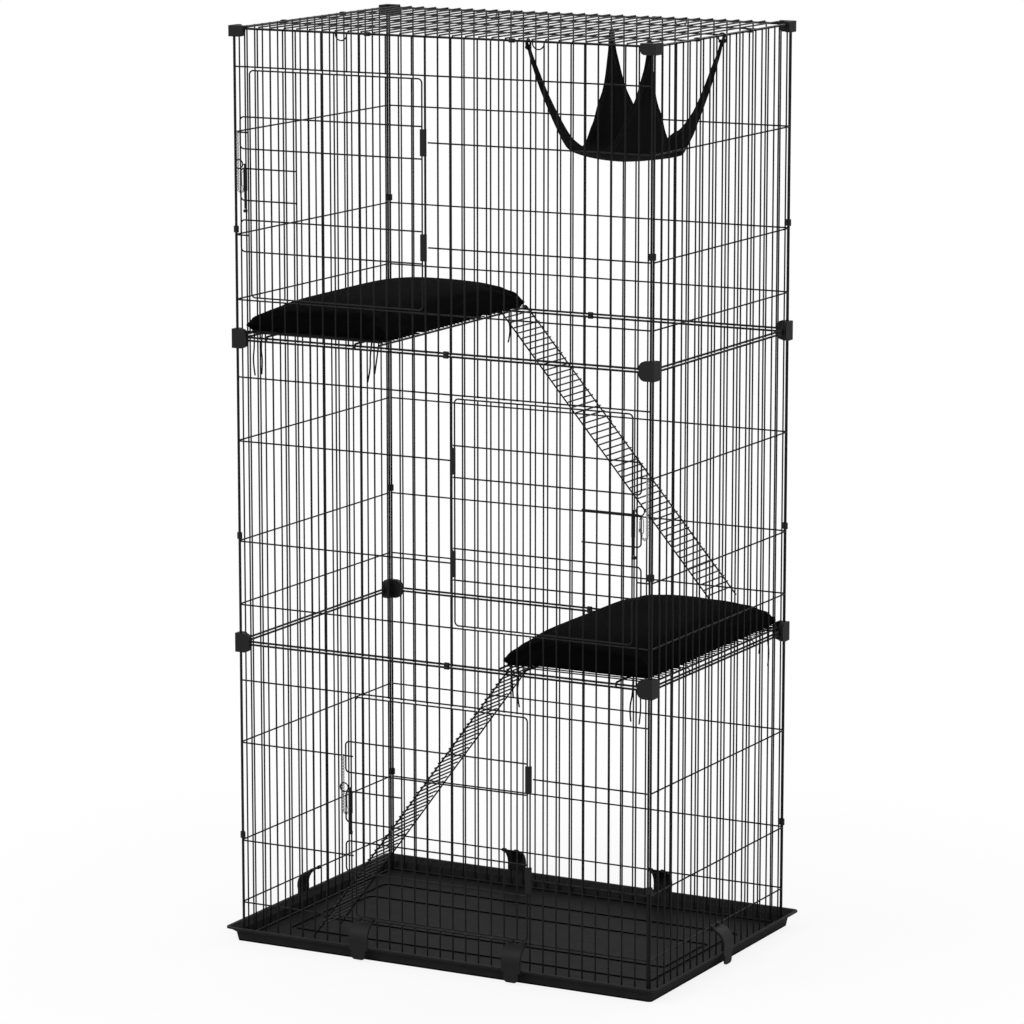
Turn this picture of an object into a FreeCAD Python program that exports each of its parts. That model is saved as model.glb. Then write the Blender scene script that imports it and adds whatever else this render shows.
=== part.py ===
"""Three-tier wire cat cage: welded panels, three swing doors, two shelves with ramps, hammock and tray.

Frame: origin under the middle of the tray, +X to the right seen from the front, front wall at -Y, +Z up.
All lengths are millimetres.
"""
import FreeCAD, Part
import math
import os
import re

Vector = FreeCAD.Vector

doc = FreeCAD.newDocument("cat_cage")
sheet = doc.addObject("Spreadsheet::Sheet", "sizes")

SIZES = [
    ("cage_width", 880, "between the planes of the left and right walls"),
    ("cage_depth", 586, "between the planes of the front and back walls"),
    ("tier_height", 589, "from one tier's bottom rail to the next"),
    ("wire_pitch", 27.6, "target spacing of the uprights"),
    ("wire_diameter", 3, "uprights and cross wires"),
    ("rod_diameter", 4, "panel frames and shelf bearers"),
    ("weld_gap", 0.05, "between wires that are welded together"),
    ("rail_gap", 2, "between the rails of two stacked tiers"),
    ("corner_inset", 3.2, "edge rod of a panel from the plane of its neighbour"),
    ("band_height", 71, "outer cross wires of a front panel from its rails"),
    ("running_clearance", 0.08, "radial play of a sleeve on its wire"),
    ("door_gap_count", 14, "door width, counted in gaps of the wall"),
    ("door_side_gap_count", 1, "gaps between an outer door and the corner"),
    ("door_hinge_gap", 6, "door frame from its hinge wire"),
    ("door_latch_gap", 9.8, "door frame from its latch jamb"),
    ("door_end_gap", 6.2, "door frame from the cross wires above and below"),
    ("door_corner", 8, "bend radius of the door frame"),
    ("door_play", 0.3, "door loops in front of the jamb wire"),
    ("loop_half", 30, "half the height of a door loop"),
    ("loop_reach", 10, "door loops past the latch jamb"),
    ("loop_corner", 8, "bend radius of a door loop"),
    ("short_loop_gap_count", 4, "length of the latch loop, in gaps"),
    ("stub_overrun", 2, "cross wire ends past the latch jamb"),
    ("hinge_length", 50, "hinge sleeve"),
    ("hinge_diameter", 6.6, "hinge sleeve"),
    ("hinge_leaf", 9, "hinge leaf across the door frame"),
    ("hinge_leaf_thickness", 1.4, "hinge leaf"),
    ("hinge_stub_gap", 5, "cross wire ends from the hinge wire"),
    ("bolt_diameter", 5, "latch bolt"),
    ("bolt_inset", 3.5, "latch bolt from the jamb wire"),
    ("bolt_tail", 34, "bolt showing under its barrel"),
    ("bolt_travel", 15, "drop of the bolt into its keeper"),
    ("barrel_diameter", 7.6, "latch barrel"),
    ("barrel_length", 43, "latch barrel"),
    ("barrel_rise", 2, "barrel above the latch loop"),
    ("ring_rise", 6.5, "ring handle above the barrel"),
    ("ring_diameter", 17, "centre line of the ring handle"),
    ("ring_wire", 2.5, "ring handle"),
    ("ring_neck", 5.6, "neck between bolt and ring"),
    ("slot_play", 0.35, "neck in the slot of the barrel"),
    ("keeper_diameter", 7, "keeper eye"),
    ("keeper_length", 5, "keeper eye"),
    ("keeper_play", 0.3, "bolt in its keeper"),
    ("keeper_gap", 2, "keeper under the raised bolt"),
    ("chain_offset", 19.2, "safety chain from the jamb wire"),
    ("link_radius", 2.2, "chain link, centre line"),
    ("link_wire", 1.2, "chain link"),
    ("link_pitch", 3.1, "chain link to chain link"),
    ("chain_drop", 100, "straight part of the chain"),
    ("chain_bend", 5.7, "turn at the foot of the chain"),
    ("top_link_radius", 3.2, "first link, round the cross wire"),
    ("snap_width", 8, "snap hook, centre line"),
    ("snap_height", 28, "snap hook, centre line"),
    ("snap_wire", 2.2, "snap hook"),
    ("snap_eye", 2.4, "eye of the snap hook"),
    ("snap_eye_wire", 1.1, "eye of the snap hook"),
    ("gate_pin", 1.4, "pin of the snap hook's gate"),
    ("gate_knuckle", 3.2, "knuckle of the gate"),
    ("gate_width", 2, "knuckle of the gate along its pin"),
    ("gate_arm", 1.6, "arm of the gate"),
    ("gate_gap", 0.4, "gate from nose and cheeks"),
    ("cheek_thickness", 0.8, "cheeks that hold the gate pin"),
    ("shelf_width", 312, "shelf from its side wall"),
    ("shelf_rung_pitch", 14.8, "shelf wires"),
    ("shelf_rung", 2.5, "shelf wires"),
    ("shelf_wall_gap", 10, "shelf from the walls"),
    ("shelf_hook", 5, "hook tails of the shelf"),
    ("seat_gap", 0.1, "parts resting on wires"),
    ("cushion_width", 316, "across the shelf"),
    ("cushion_length", 574, "front to back"),
    ("cushion_height", 46, "crown of the cushion"),
    ("cushion_wall_gap", 6, "cushion from the side wall"),
    ("cushion_seat", 0.85, "cushion above the shelf wires"),
    ("tie_diameter", 3, "tie strings"),
    ("ramp_gap_count", 7, "ramp width, counted in gaps of the shelf"),
    ("lower_ramp_gap_count", 3, "lower ramp from the front wall, in gaps of the shelf"),
    ("ramp_wire", 3, "ramp rails"),
    ("ramp_rung", 3, "ramp rungs"),
    ("ramp_rung_pitch", 13, "ramp rungs"),
    ("upper_ramp_run", 462, "level length of the upper ramp"),
    ("lower_ramp_run", 443, "level length of the lower ramp"),
    ("ramp_foot_gap", 1.5, "ramp ends above what they rest on"),
    ("ramp_hook_angle", 200, "turn of the ramp hooks, degrees"),
    ("hammock_bowl_x", 150, "hammock bowl, left to right"),
    ("hammock_bowl_y", 190, "hammock bowl, front to back"),
    ("hammock_drop", 205, "bowl rim under the roof"),
    ("hammock_sag", 22, "depth of the bowl"),
    ("hammock_cloth", 3, "thickness of the cloth"),
    ("hammock_strap", 14, "straps at the top"),
    ("hanger_radius", 8, "rings over the roof's edge rods"),
    ("small_hanger_radius", 5.5, "rings over one roof wire"),
    ("hanger_wire", 3, "hanging rings"),
    ("connector_length", 31.5, "leaf of a corner connector"),
    ("connector_height", 37, "connector between two tiers"),
    ("connector_outer", 6.5, "connector outside the wall plane"),
    ("connector_inner", 4, "connector inside the wall plane"),
    ("connector_round", 13, "rounded ends of the leaves"),
    ("connector_cap", 6, "top connector above the roof rods"),
    ("connector_skirt", 15, "top connector below the roof rods"),
    ("connector_top_round", 9, "rounded ends of the top leaves"),
    ("grip_clearance", 0.15, "clips and connectors round their rods"),
    ("clip_lobe", 8.8, "lobes of the corner clips"),
    ("clip_length", 12, "corner clips"),
    ("clip_rise", 3, "corner clips above the cross wire"),
    ("rail_clip_lobe", 7.6, "lobes of the rail and roof clips"),
    ("rail_clip_length", 9, "rail and roof clips"),
    ("roof_inset", 4.2, "roof frame inside the walls"),
    ("roof_loop_radius", 12, "wire loops under the roof's edge"),
    ("roof_loop_wire", 2.5, "wire loops under the roof's edge"),
    ("tray_floor", 3, "floor of the tray"),
    ("tray_wall", 2.4, "wall of the tray"),
    ("tray_height", 29, "whole tray"),
    ("tray_margin", 8, "foot of the tray outside the wall planes"),
    ("tray_lean", 3, "lean of the tray's wall below its flare"),
    ("tray_lean_height", 17, "foot of the flare"),
    ("tray_ledge", 4, "rim outside the flare"),
    ("tray_lip", 26, "rim outside the wall planes"),
    ("tray_lip_thickness", 3, "rim"),
    ("tray_corner", 8, "corner radius of the tray's foot"),
    ("rim_corner", 13, "corner radius of the rim"),
    ("groove_corner", 16, "corner radius of the floor grooves"),
    ("groove_width", 11, "floor grooves"),
    ("groove_depth", 2, "floor grooves"),
    ("groove_end", 42, "floor grooves from the side walls"),
    ("outer_groove", 103, "outer groove from the front and back walls"),
    ("inner_groove", 197, "inner groove from the front and back walls"),
    ("inner_groove_step", 18, "inner groove inside the outer one"),
    ("tray_hook_width", 40, "tray hooks"),
    ("tray_hook_tongue", 30, "width of a tray hook's finger tongue"),
    ("tray_hook_foot", 4.5, "finger tongue of a tray hook above the floor"),
    ("tray_hook_corner", 8, "corners of the finger tongue"),
    ("tray_hook_thickness", 3.2, "tray hooks"),
    ("tray_hook_play", 0.5, "tab of a tray hook clear of the rim"),
    ("tray_hook_tab", 3.5, "tab of a tray hook under the rim"),
    ("tray_hook_standoff", 5.8, "tray hook outside the wall plane"),
    ("prong_width", 8, "prongs of the tray hooks"),
    ("prong_diameter", 7.2, "prongs round the lowest cross wire"),
]
for row, (alias, number, note) in enumerate(SIZES, 1):
    sheet.set(f"A{row}", alias)
    sheet.set(f"B{row}", str(number))
    sheet.setAlias(f"B{row}", alias)
    sheet.set(f"C{row}", note)
doc.recompute()

ALIASES = {alias for alias, number, note in SIZES}
sub_parts = []


def linked(text):
    """Expression text in which every size name points at the sheet."""
    return re.sub(r"[a-z]\w+", lambda word: f"sizes.{word[0]}" if word[0] in ALIASES else word[0], str(text))


def value(text):
    """Number that an expression of sizes comes to."""
    number = sheet.evalExpression(linked(text))
    return float(getattr(number, "Value", number))


def bind(thing, **properties):
    """Bind properties of an object to expressions of sizes."""
    for name, text in properties.items():
        thing.setExpression(name, linked(text))


def place(thing, point):
    """Bind an object's position to three expressions."""
    for axis, text in zip("xyz", point):
        thing.setExpression(f"Placement.Base.{axis}", linked(text))
    return thing


def new(kind, name):
    """Add an object to the document."""
    return doc.addObject(kind, name)


# Building blocks

ALONG = {
    "X": FreeCAD.Rotation(Vector(0, 1, 0), 90),
    "Y": FreeCAD.Rotation(Vector(1, 0, 0), -90),
    "Z": FreeCAD.Rotation(),
}


def rod(name, along, diameter, start, length):
    """Straight round wire from its start point along an axis."""
    wire = new("Part::Cylinder", name)
    wire.Placement = FreeCAD.Placement(Vector(), ALONG[along])
    bind(wire, Radius=f"({diameter}) / 2", Height=length)
    return place(wire, start)


def bend(name, first, last, radius, diameter, centre, turn="90"):
    """Round wire turning about a centre, from one direction towards another at right angles to it."""
    arc = new("Part::Torus", name)
    first, last = Vector(*first), Vector(*last)
    arc.Placement = FreeCAD.Placement(Vector(), FreeCAD.Rotation(first, last, first.cross(last), "ZXY"))
    bind(arc, Radius1=radius, Radius2=f"({diameter}) / 2", Angle3=turn)
    return place(arc, centre)


def ring(name, axis, radius, diameter, centre, turn=0):
    """Closed round ring about an axis; a turn keeps its seam away from what joins it."""
    loop = new("Part::Torus", name)
    loop.Placement = FreeCAD.Placement(Vector(), ALONG[axis] * FreeCAD.Rotation(Vector(0, 0, 1), turn))
    bind(loop, Radius1=radius, Radius2=f"({diameter}) / 2")
    return place(loop, centre)


def box(name, corner, lengths):
    """Box from its lowest corner."""
    block = new("Part::Box", name)
    bind(block, Length=lengths[0], Width=lengths[1], Height=lengths[2])
    return place(block, corner)


def fuse(name, pieces):
    """One solid of several pieces."""
    whole = new("Part::MultiFuse", name)
    whole.Shapes = pieces
    return whole


def cut(name, base, tools):
    """Base with tools taken away."""
    result = new("Part::Cut", name)
    result.Base = base
    result.Tool = tools[0] if len(tools) == 1 else fuse(f"{name}_tools", tools)
    return result


def group(name, pieces, at=("0", "0", "0")):
    """Pieces kept together as one object, moved to a place."""
    together = new("Part::Compound", name)
    together.Links = pieces
    return place(together, at)


def sub_part(name, pieces, at=("0", "0", "0")):
    """Group of pieces that is one named node of the cage."""
    node = group(name, pieces, at)
    node.Label = name
    sub_parts.append(node)
    return node


def mirrored(name, source, normal):
    """Mirror image of an object in a plane through the origin."""
    image = new("Part::Mirroring", name)
    image.Source = source
    image.Normal = Vector(*normal)
    return image


def four_corners(name, source):
    """An object at the front left corner and its images at the other three."""
    right = mirrored(f"{name}_right", source, (1, 0, 0))
    back = mirrored(f"{name}_back", source, (0, 1, 0))
    return [source, right, back, mirrored(f"{name}_back_right", back, (1, 0, 0))]


def outline(name, points):
    """Closed wire through points: lines, and arcs where an entry holds a middle and an end."""
    edges = []
    start = here = Vector(*points[0])
    for entry in points[1:]:
        if isinstance(entry[0], tuple):
            there = Vector(*entry[1])
            edges.append(Part.Arc(here, Vector(*entry[0]), there).toShape())
        else:
            there = Vector(*entry)
            edges.append(Part.LineSegment(here, there).toShape())
        here = there
    if (here - start).Length > Part.Precision.confusion():
        edges.append(Part.LineSegment(here, start).toShape())
    wire = new("Part::Feature", name)
    wire.Shape = Part.Wire(edges)
    return wire


def loft(name, sections, ruled=False):
    """Solid through closed outlines."""
    solid = new("Part::Loft", name)
    solid.Sections = sections
    solid.Solid = True
    solid.Ruled = ruled
    return solid


def extrusion(name, base, direction, length):
    """Solid of one outline pushed along a direction."""
    solid = new("Part::Extrusion", name)
    solid.Base = base
    solid.DirMode = "Custom"
    solid.Dir = Vector(*direction)
    solid.Solid = True
    bind(solid, LengthFwd=length)
    return solid


# Layout shared by the pieces

FRONT_GAPS = round(value("cage_width / wire_pitch"))
SIDE_GAPS = round(value("cage_depth / wire_pitch"))
DOOR_GAPS = round(value("door_gap_count"))
SIDE_ROOM = round(value("door_side_gap_count"))
HALF_W = "cage_width / 2"
HALF_D = "cage_depth / 2"
FRONT_PITCH = f"cage_width / {FRONT_GAPS}"
SIDE_PITCH = f"cage_depth / {SIDE_GAPS}"
FOOT = "(tray_floor + rod_diameter / 2 + weld_gap)"
PANEL = "(tier_height - rod_diameter - rail_gap)"
UPRIGHT = "((rod_diameter + wire_diameter) / 2 + weld_gap)"
CROSS = f"({UPRIGHT} - wire_diameter - weld_gap)"
BAND_LOW = "band_height"
BAND_HIGH = f"({PANEL} - band_height)"
CROSS_LOW = f"({PANEL} / 3)"
CROSS_HIGH = f"({PANEL} * 2 / 3)"
MIDDLE = f"({PANEL} / 2)"
ROOF = f"({FOOT} + 2 * tier_height + {PANEL})"


def base(tier):
    """Height of a tier's bottom rail."""
    return f"({FOOT} + {tier} * tier_height)"


def front_wire(index):
    """Place of a front or back upright along X."""
    return f"({index} * {FRONT_PITCH} - {HALF_W})"


def side_wire(index):
    """Place of a side upright along Y."""
    return f"({index} * {SIDE_PITCH} - {HALF_D})"


def on_wall(side, along, out, height):
    """Point on a wall from its place along the wall, outwards from the wall's plane, and height."""
    return {
        "front": (along, f"-({HALF_D} + {out})", height),
        "back": (along, f"({HALF_D} + {out})", height),
        "left": (f"-({HALF_W} + {out})", along, height),
    }[side]


# Welded wall panels

def panel_frame(name, side):
    """Four frame rods of a panel whose bottom rail is at height 0."""
    along = "Y" if side == "left" else "X"
    half = f"({HALF_D if side == 'left' else HALF_W} - corner_inset)"
    rail_start = f"(rod_diameter / 2 + weld_gap - {half})"
    rail_length = f"(2 * {half} - rod_diameter - 2 * weld_gap)"
    pieces = [
        rod(f"{name}_edge_{end}", "Z", "rod_diameter",
            on_wall(side, f"{sign}{half}", "0", "-rod_diameter / 2"), f"{PANEL} + rod_diameter")
        for end, sign in (("low", "-"), ("high", ""))
    ]
    for rail, height in (("bottom", "0"), ("top", PANEL)):
        start = on_wall(side, rail_start, "0", height)
        pieces.append(rod(f"{name}_{rail}_rail", along, "rod_diameter", start, rail_length))
    return pieces, along, rail_start, rail_length


def plain_panel(name, side, gaps, wire_at):
    """Panel without a door: three cross wires and evenly spaced uprights outside them."""
    pieces, along, start, length = panel_frame(name, side)
    for index, height in enumerate((BAND_LOW, CROSS_LOW, CROSS_HIGH)):
        pieces.append(rod(f"{name}_cross_{index}", along, "wire_diameter",
                          on_wall(side, start, CROSS, height), length))
    for index in range(1, gaps):
        foot = on_wall(side, wire_at(index), UPRIGHT, "-rod_diameter / 2")
        pieces.append(rod(f"{name}_upright_{index}", "Z", "wire_diameter", foot, f"{PANEL} + rod_diameter"))
    return pieces


def door_panel(name, first, hinge_right):
    """Front panel with a doorway from upright first, the cross wires broken at the doorway."""
    pieces, along, start, length = panel_frame(name, "front")
    last = first + DOOR_GAPS
    end = f"({start} + {length})"
    left_end = "stub_overrun" if hinge_right else "-hinge_stub_gap"
    right_end = "hinge_stub_gap" if hinge_right else "-stub_overrun"
    for label, height in (("sill", BAND_LOW), ("head", BAND_HIGH)):
        pieces.append(rod(f"{name}_{label}", along, "wire_diameter",
                          on_wall("front", start, CROSS, height), length))
    for label, height in (("low", CROSS_LOW), ("high", CROSS_HIGH)):
        from_right = f"({front_wire(last)} + {right_end})"
        pieces.append(rod(f"{name}_left_stub_{label}", along, "wire_diameter",
                          on_wall("front", start, CROSS, height),
                          f"{front_wire(first)} + {left_end} - {start}"))
        pieces.append(rod(f"{name}_right_stub_{label}", along, "wire_diameter",
                          on_wall("front", from_right, CROSS, height), f"{end} - {from_right}"))
    short = "band_height + (rod_diameter + wire_diameter) / 2"
    for index in range(1, FRONT_GAPS):
        place_x = front_wire(index)
        foot = on_wall("front", place_x, UPRIGHT, "-rod_diameter / 2")
        if first < index < last:
            above = on_wall("front", place_x, UPRIGHT, f"{BAND_HIGH} - wire_diameter / 2")
            pieces.append(rod(f"{name}_short_{index}", "Z", "wire_diameter", foot, short))
            pieces.append(rod(f"{name}_upper_{index}", "Z", "wire_diameter", above, short))
        else:
            pieces.append(rod(f"{name}_upright_{index}", "Z", "wire_diameter", foot,
                              f"{PANEL} + rod_diameter"))
    return pieces


DOORS = [
    ("lower", (FRONT_GAPS - DOOR_GAPS) // 2, True),
    ("middle", FRONT_GAPS - SIDE_ROOM - DOOR_GAPS, False),
    ("upper", SIDE_ROOM, True),
]
back_wires = plain_panel("back", "back", FRONT_GAPS, front_wire)
left_wires = plain_panel("left", "left", SIDE_GAPS, side_wire)
right_wires = [mirrored("right_wires", group("left_wires", left_wires), (1, 0, 0))]
for tier, (level, first, hinge_right) in enumerate(DOORS):
    on_tier = ("0", "0", base(tier))
    sub_part(f"front_panel_{level}", door_panel(f"front_{level}", first, hinge_right), on_tier)
    sub_part(f"back_panel_{level}", back_wires, on_tier)
    sub_part(f"left_panel_{level}", left_wires, on_tier)
    sub_part(f"right_panel_{level}", right_wires, on_tier)


# Roof panel, set inside the walls' top rails

def roof():
    """Roof frame, cross wires along X and wires along Y on top of them."""
    half_x = f"({HALF_W} - roof_inset)"
    half_y = f"({HALF_D} - roof_inset)"
    inner = f"({half_x} - rod_diameter / 2 - weld_gap)"
    pieces = []
    for end, sign in (("low", "-"), ("high", "")):
        pieces.append(rod(f"roof_side_{end}", "Y", "rod_diameter",
                          (f"{sign}{half_x}", f"-({half_y} + rod_diameter / 2)", ROOF),
                          f"2 * {half_y} + rod_diameter"))
        pieces.append(rod(f"roof_edge_{end}", "X", "rod_diameter",
                          (f"-{inner}", f"{sign}{half_y}", ROOF), f"2 * {inner}"))
    for index, share in enumerate((-1, 0, 1)):
        start = (f"-{inner}", f"{share} * cage_depth / 4", f"{ROOF} + {CROSS}")
        pieces.append(rod(f"roof_cross_{index}", "X", "wire_diameter", start, f"2 * {inner}"))
    for index in range(1, FRONT_GAPS):
        start = (front_wire(index), f"-({half_y} + rod_diameter / 2)", f"{ROOF} + {UPRIGHT}")
        pieces.append(rod(f"roof_wire_{index}", "Y", "wire_diameter", start, f"2 * {half_y} + rod_diameter"))
    return pieces


sub_part("roof_panel", roof())


# Doors, drawn with the hinge wire at X 0, the latch towards -X and the tier's bottom rail at height 0

OPENING = f"({DOOR_GAPS} * {FRONT_PITCH})"
UPRIGHT_Y = f"(-{HALF_D} - {UPRIGHT})"
LOOP_Y = f"({UPRIGHT_Y} - wire_diameter - door_play)"
JAMB_X = f"(-{OPENING})"
LOOP_END = f"({JAMB_X} - loop_reach)"


def u_loop(name, middle, start):
    """Door loop: two level wires joined past the latch jamb by a rounded end."""
    bend_x = f"({LOOP_END} + loop_corner)"
    upright = "(loop_half - loop_corner)"
    pieces = [rod(f"{name}_end", "Z", "wire_diameter",
                  (LOOP_END, LOOP_Y, f"{middle} - {upright}"), f"2 * {upright}")]
    for label, sign in (("low", -1), ("high", 1)):
        height = f"({middle} + {sign} * loop_half)"
        centre = (bend_x, LOOP_Y, f"{middle} + {sign} * {upright}")
        pieces.append(bend(f"{name}_bend_{label}", (-1, 0, 0), (0, 0, sign), "loop_corner",
                           "wire_diameter", centre))
        pieces.append(rod(f"{name}_{label}", "X", "wire_diameter", (bend_x, LOOP_Y, height),
                          f"{start} - {bend_x}"))
    return fuse(name, pieces)


def door_frame():
    """Rounded frame of a door."""
    right = "(-door_hinge_gap)"
    left = f"({JAMB_X} + door_latch_gap)"
    low = f"({BAND_LOW} + door_end_gap)"
    high = f"({BAND_HIGH} - door_end_gap)"
    pieces = []
    for label, x, sign_x in (("left", left, -1), ("right", right, 1)):
        pieces.append(rod(f"door_{label}", "Z", "wire_diameter", (x, UPRIGHT_Y, f"{low} + door_corner"),
                          f"{high} - {low} - 2 * door_corner"))
        for end, z, sign_z in (("low", low, -1), ("high", high, 1)):
            centre = (f"{x} - {sign_x} * door_corner", UPRIGHT_Y, f"{z} - {sign_z} * door_corner")
            pieces.append(bend(f"door_{label}_{end}", (sign_x, 0, 0), (0, 0, sign_z), "door_corner",
                               "wire_diameter", centre))
    for end, z in (("low", low), ("high", high)):
        pieces.append(rod(f"door_{end}", "X", "wire_diameter", (f"{left} + door_corner", UPRIGHT_Y, z),
                          f"{right} - {left} - 2 * door_corner"))
    return fuse("door_frame", pieces), low, high


def door():
    """Door frame, its uprights in line with the wall's, two long loops and the latch loop."""
    frame, low, high = door_frame()
    long_start = "(wire_diameter / 2 - door_hinge_gap)"
    short_start = f"({JAMB_X} + round(short_loop_gap_count) * {FRONT_PITCH} + wire_diameter / 2)"
    pieces = [frame]
    for index in range(1, DOOR_GAPS):
        foot = (f"-{index} * {FRONT_PITCH}", UPRIGHT_Y, f"{low} + wire_diameter / 2 + weld_gap")
        pieces.append(rod(f"door_upright_{index}", "Z", "wire_diameter", foot,
                          f"{high} - {low} - wire_diameter - 2 * weld_gap"))
    pieces.append(u_loop("low_loop", CROSS_LOW, long_start))
    pieces.append(u_loop("high_loop", CROSS_HIGH, long_start))
    pieces.append(u_loop("latch_loop", MIDDLE, short_start))
    return pieces


def hinge_sleeves():
    """Two sleeves round the hinge wire, each with a leaf over the door frame."""
    sleeves = []
    leaf_y = f"({UPRIGHT_Y} - wire_diameter / 2 - weld_gap - hinge_leaf_thickness)"
    for label, middle in (("low", CROSS_LOW), ("high", CROSS_HIGH)):
        foot = f"{middle} - hinge_length / 2"
        tube = rod(f"sleeve_{label}", "Z", "hinge_diameter", ("0", UPRIGHT_Y, foot), "hinge_length")
        leaf = box(f"leaf_{label}", ("-hinge_leaf", leaf_y, foot),
                   ("hinge_leaf", "hinge_leaf_thickness", "hinge_length"))
        bore = rod(f"sleeve_bore_{label}", "Z", "wire_diameter + 2 * running_clearance",
                   ("0", UPRIGHT_Y, foot), "hinge_length")
        sleeves.append(cut(f"hinge_{label}", fuse(f"sleeve_and_leaf_{label}", [tube, leaf]), [bore]))
    return sleeves


BOLT_X = f"({JAMB_X} + bolt_inset)"
BOLT_Y = f"({LOOP_Y} - wire_diameter / 2 - weld_gap - barrel_diameter / 2)"
BARREL_TOP = f"({MIDDLE} + loop_half + barrel_rise)"
BARREL_FOOT = f"({BARREL_TOP} - barrel_length)"
BOLT_FOOT = f"({BARREL_FOOT} - bolt_tail)"
RING_Z = f"({BARREL_TOP} + ring_rise)"


def latch_barrel():
    """Tube on the latch loop, slotted at the top for the neck of the ring handle."""
    tube = rod("barrel_tube", "Z", "barrel_diameter", (BOLT_X, BOLT_Y, BARREL_FOOT), "barrel_length")
    bore = rod("barrel_bore", "Z", "bolt_diameter + 2 * running_clearance", (BOLT_X, BOLT_Y, BARREL_FOOT),
               "barrel_length")
    half_slot = "(ring_wire / 2 + slot_play)"
    depth = f"(bolt_travel - ring_rise + {half_slot})"
    slot = box("barrel_slot",
               (f"{BOLT_X} - barrel_diameter", f"{BOLT_Y} - {half_slot}", f"{BARREL_TOP} - {depth}"),
               ("barrel_diameter", f"2 * {half_slot}", depth))
    return cut("latch_barrel", tube, [bore, slot])


def latch_bolt():
    """Upright bolt with a neck and a ring handle at its top."""
    stem = rod("bolt_stem", "Z", "bolt_diameter", (BOLT_X, BOLT_Y, BOLT_FOOT),
               f"{RING_Z} + ring_wire / 2 - {BOLT_FOOT}")
    neck = rod("bolt_neck", "X", "ring_wire", (f"{BOLT_X} - ring_neck", BOLT_Y, RING_Z), "ring_neck")
    handle = ring("bolt_ring", "Y", "ring_diameter / 2", "ring_wire",
                  (f"{BOLT_X} - ring_neck - ring_diameter / 2", BOLT_Y, RING_Z), turn=180)
    return fuse("latch_bolt", [stem, neck, handle])


def latch_keeper():
    """Eye on the jamb wire under the bolt."""
    foot = f"({BOLT_FOOT} - keeper_gap - keeper_length)"
    eye = rod("keeper_eye", "Z", "keeper_diameter", (BOLT_X, BOLT_Y, foot), "keeper_length")
    lug = box("keeper_lug", (f"{JAMB_X} - wire_diameter / 2", BOLT_Y, foot),
              ("bolt_inset + wire_diameter / 2", f"{UPRIGHT_Y} - wire_diameter / 2 - weld_gap - {BOLT_Y}",
               "keeper_length"))
    bore = rod("keeper_bore", "Z", "bolt_diameter + 2 * keeper_play", (BOLT_X, BOLT_Y, foot), "keeper_length")
    return cut("latch_keeper", fuse("keeper_and_lug", [eye, lug]), [bore])


# Safety chain and snap hook beside each latch

CHAIN_X = f"({JAMB_X} - chain_offset)"
CHAIN_Y = f"(-{HALF_D} - {CROSS})"
CHAIN_TOP = f"({CROSS_HIGH} - top_link_radius + (link_wire + wire_diameter) / 2 + weld_gap)"
SNAP_X = f"({CHAIN_X} + 2 * chain_bend)"
FIRST_LINK = f"({CHAIN_TOP} - top_link_radius - link_radius + link_wire + weld_gap)"
TURN_LINKS = round(value("pi * chain_bend / link_pitch"))
STRAIGHT_LINKS = 2 * round(value("chain_drop / link_pitch / 2")) + (1 + TURN_LINKS) % 2
TURN_FOOT = f"({FIRST_LINK} - {STRAIGHT_LINKS} * link_pitch)"
SNAP_FOOT = f"({TURN_FOOT} + link_radius + snap_eye - (link_wire + snap_eye_wire) / 2 - weld_gap)"


def chain_link(index, centre, lean):
    """One round link, its plane turned a quarter from its neighbours' and leaning with the chain."""
    link = new("Part::Torus", f"link_{index}")
    spin = FreeCAD.Rotation(Vector(0, 0, 1), 90 * (index % 2))
    upright = FreeCAD.Rotation(Vector(1, 0, 0), 90)
    link.Placement = FreeCAD.Placement(Vector(), FreeCAD.Rotation(Vector(0, 1, 0), lean) * spin * upright)
    bind(link, Radius1="link_radius", Radius2="link_wire / 2")
    return place(link, centre)


def safety_chain():
    """Links from the cross wire down, round a half turn and up to the snap hook's eye."""
    links = [ring("top_link", "X", "top_link_radius", "link_wire", (CHAIN_X, CHAIN_Y, CHAIN_TOP))]
    for index in range(STRAIGHT_LINKS):
        links.append(chain_link(index, (CHAIN_X, CHAIN_Y, f"{FIRST_LINK} - {index} * link_pitch"), 0))
    for step in range(TURN_LINKS + 1):
        angle = 180 * step / TURN_LINKS
        centre = (f"{CHAIN_X} + chain_bend * (1 - cos({angle}))", CHAIN_Y,
                  f"{TURN_FOOT} - chain_bend * sin({angle})")
        links.append(chain_link(STRAIGHT_LINKS + step, centre, -angle))
    return links


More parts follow.
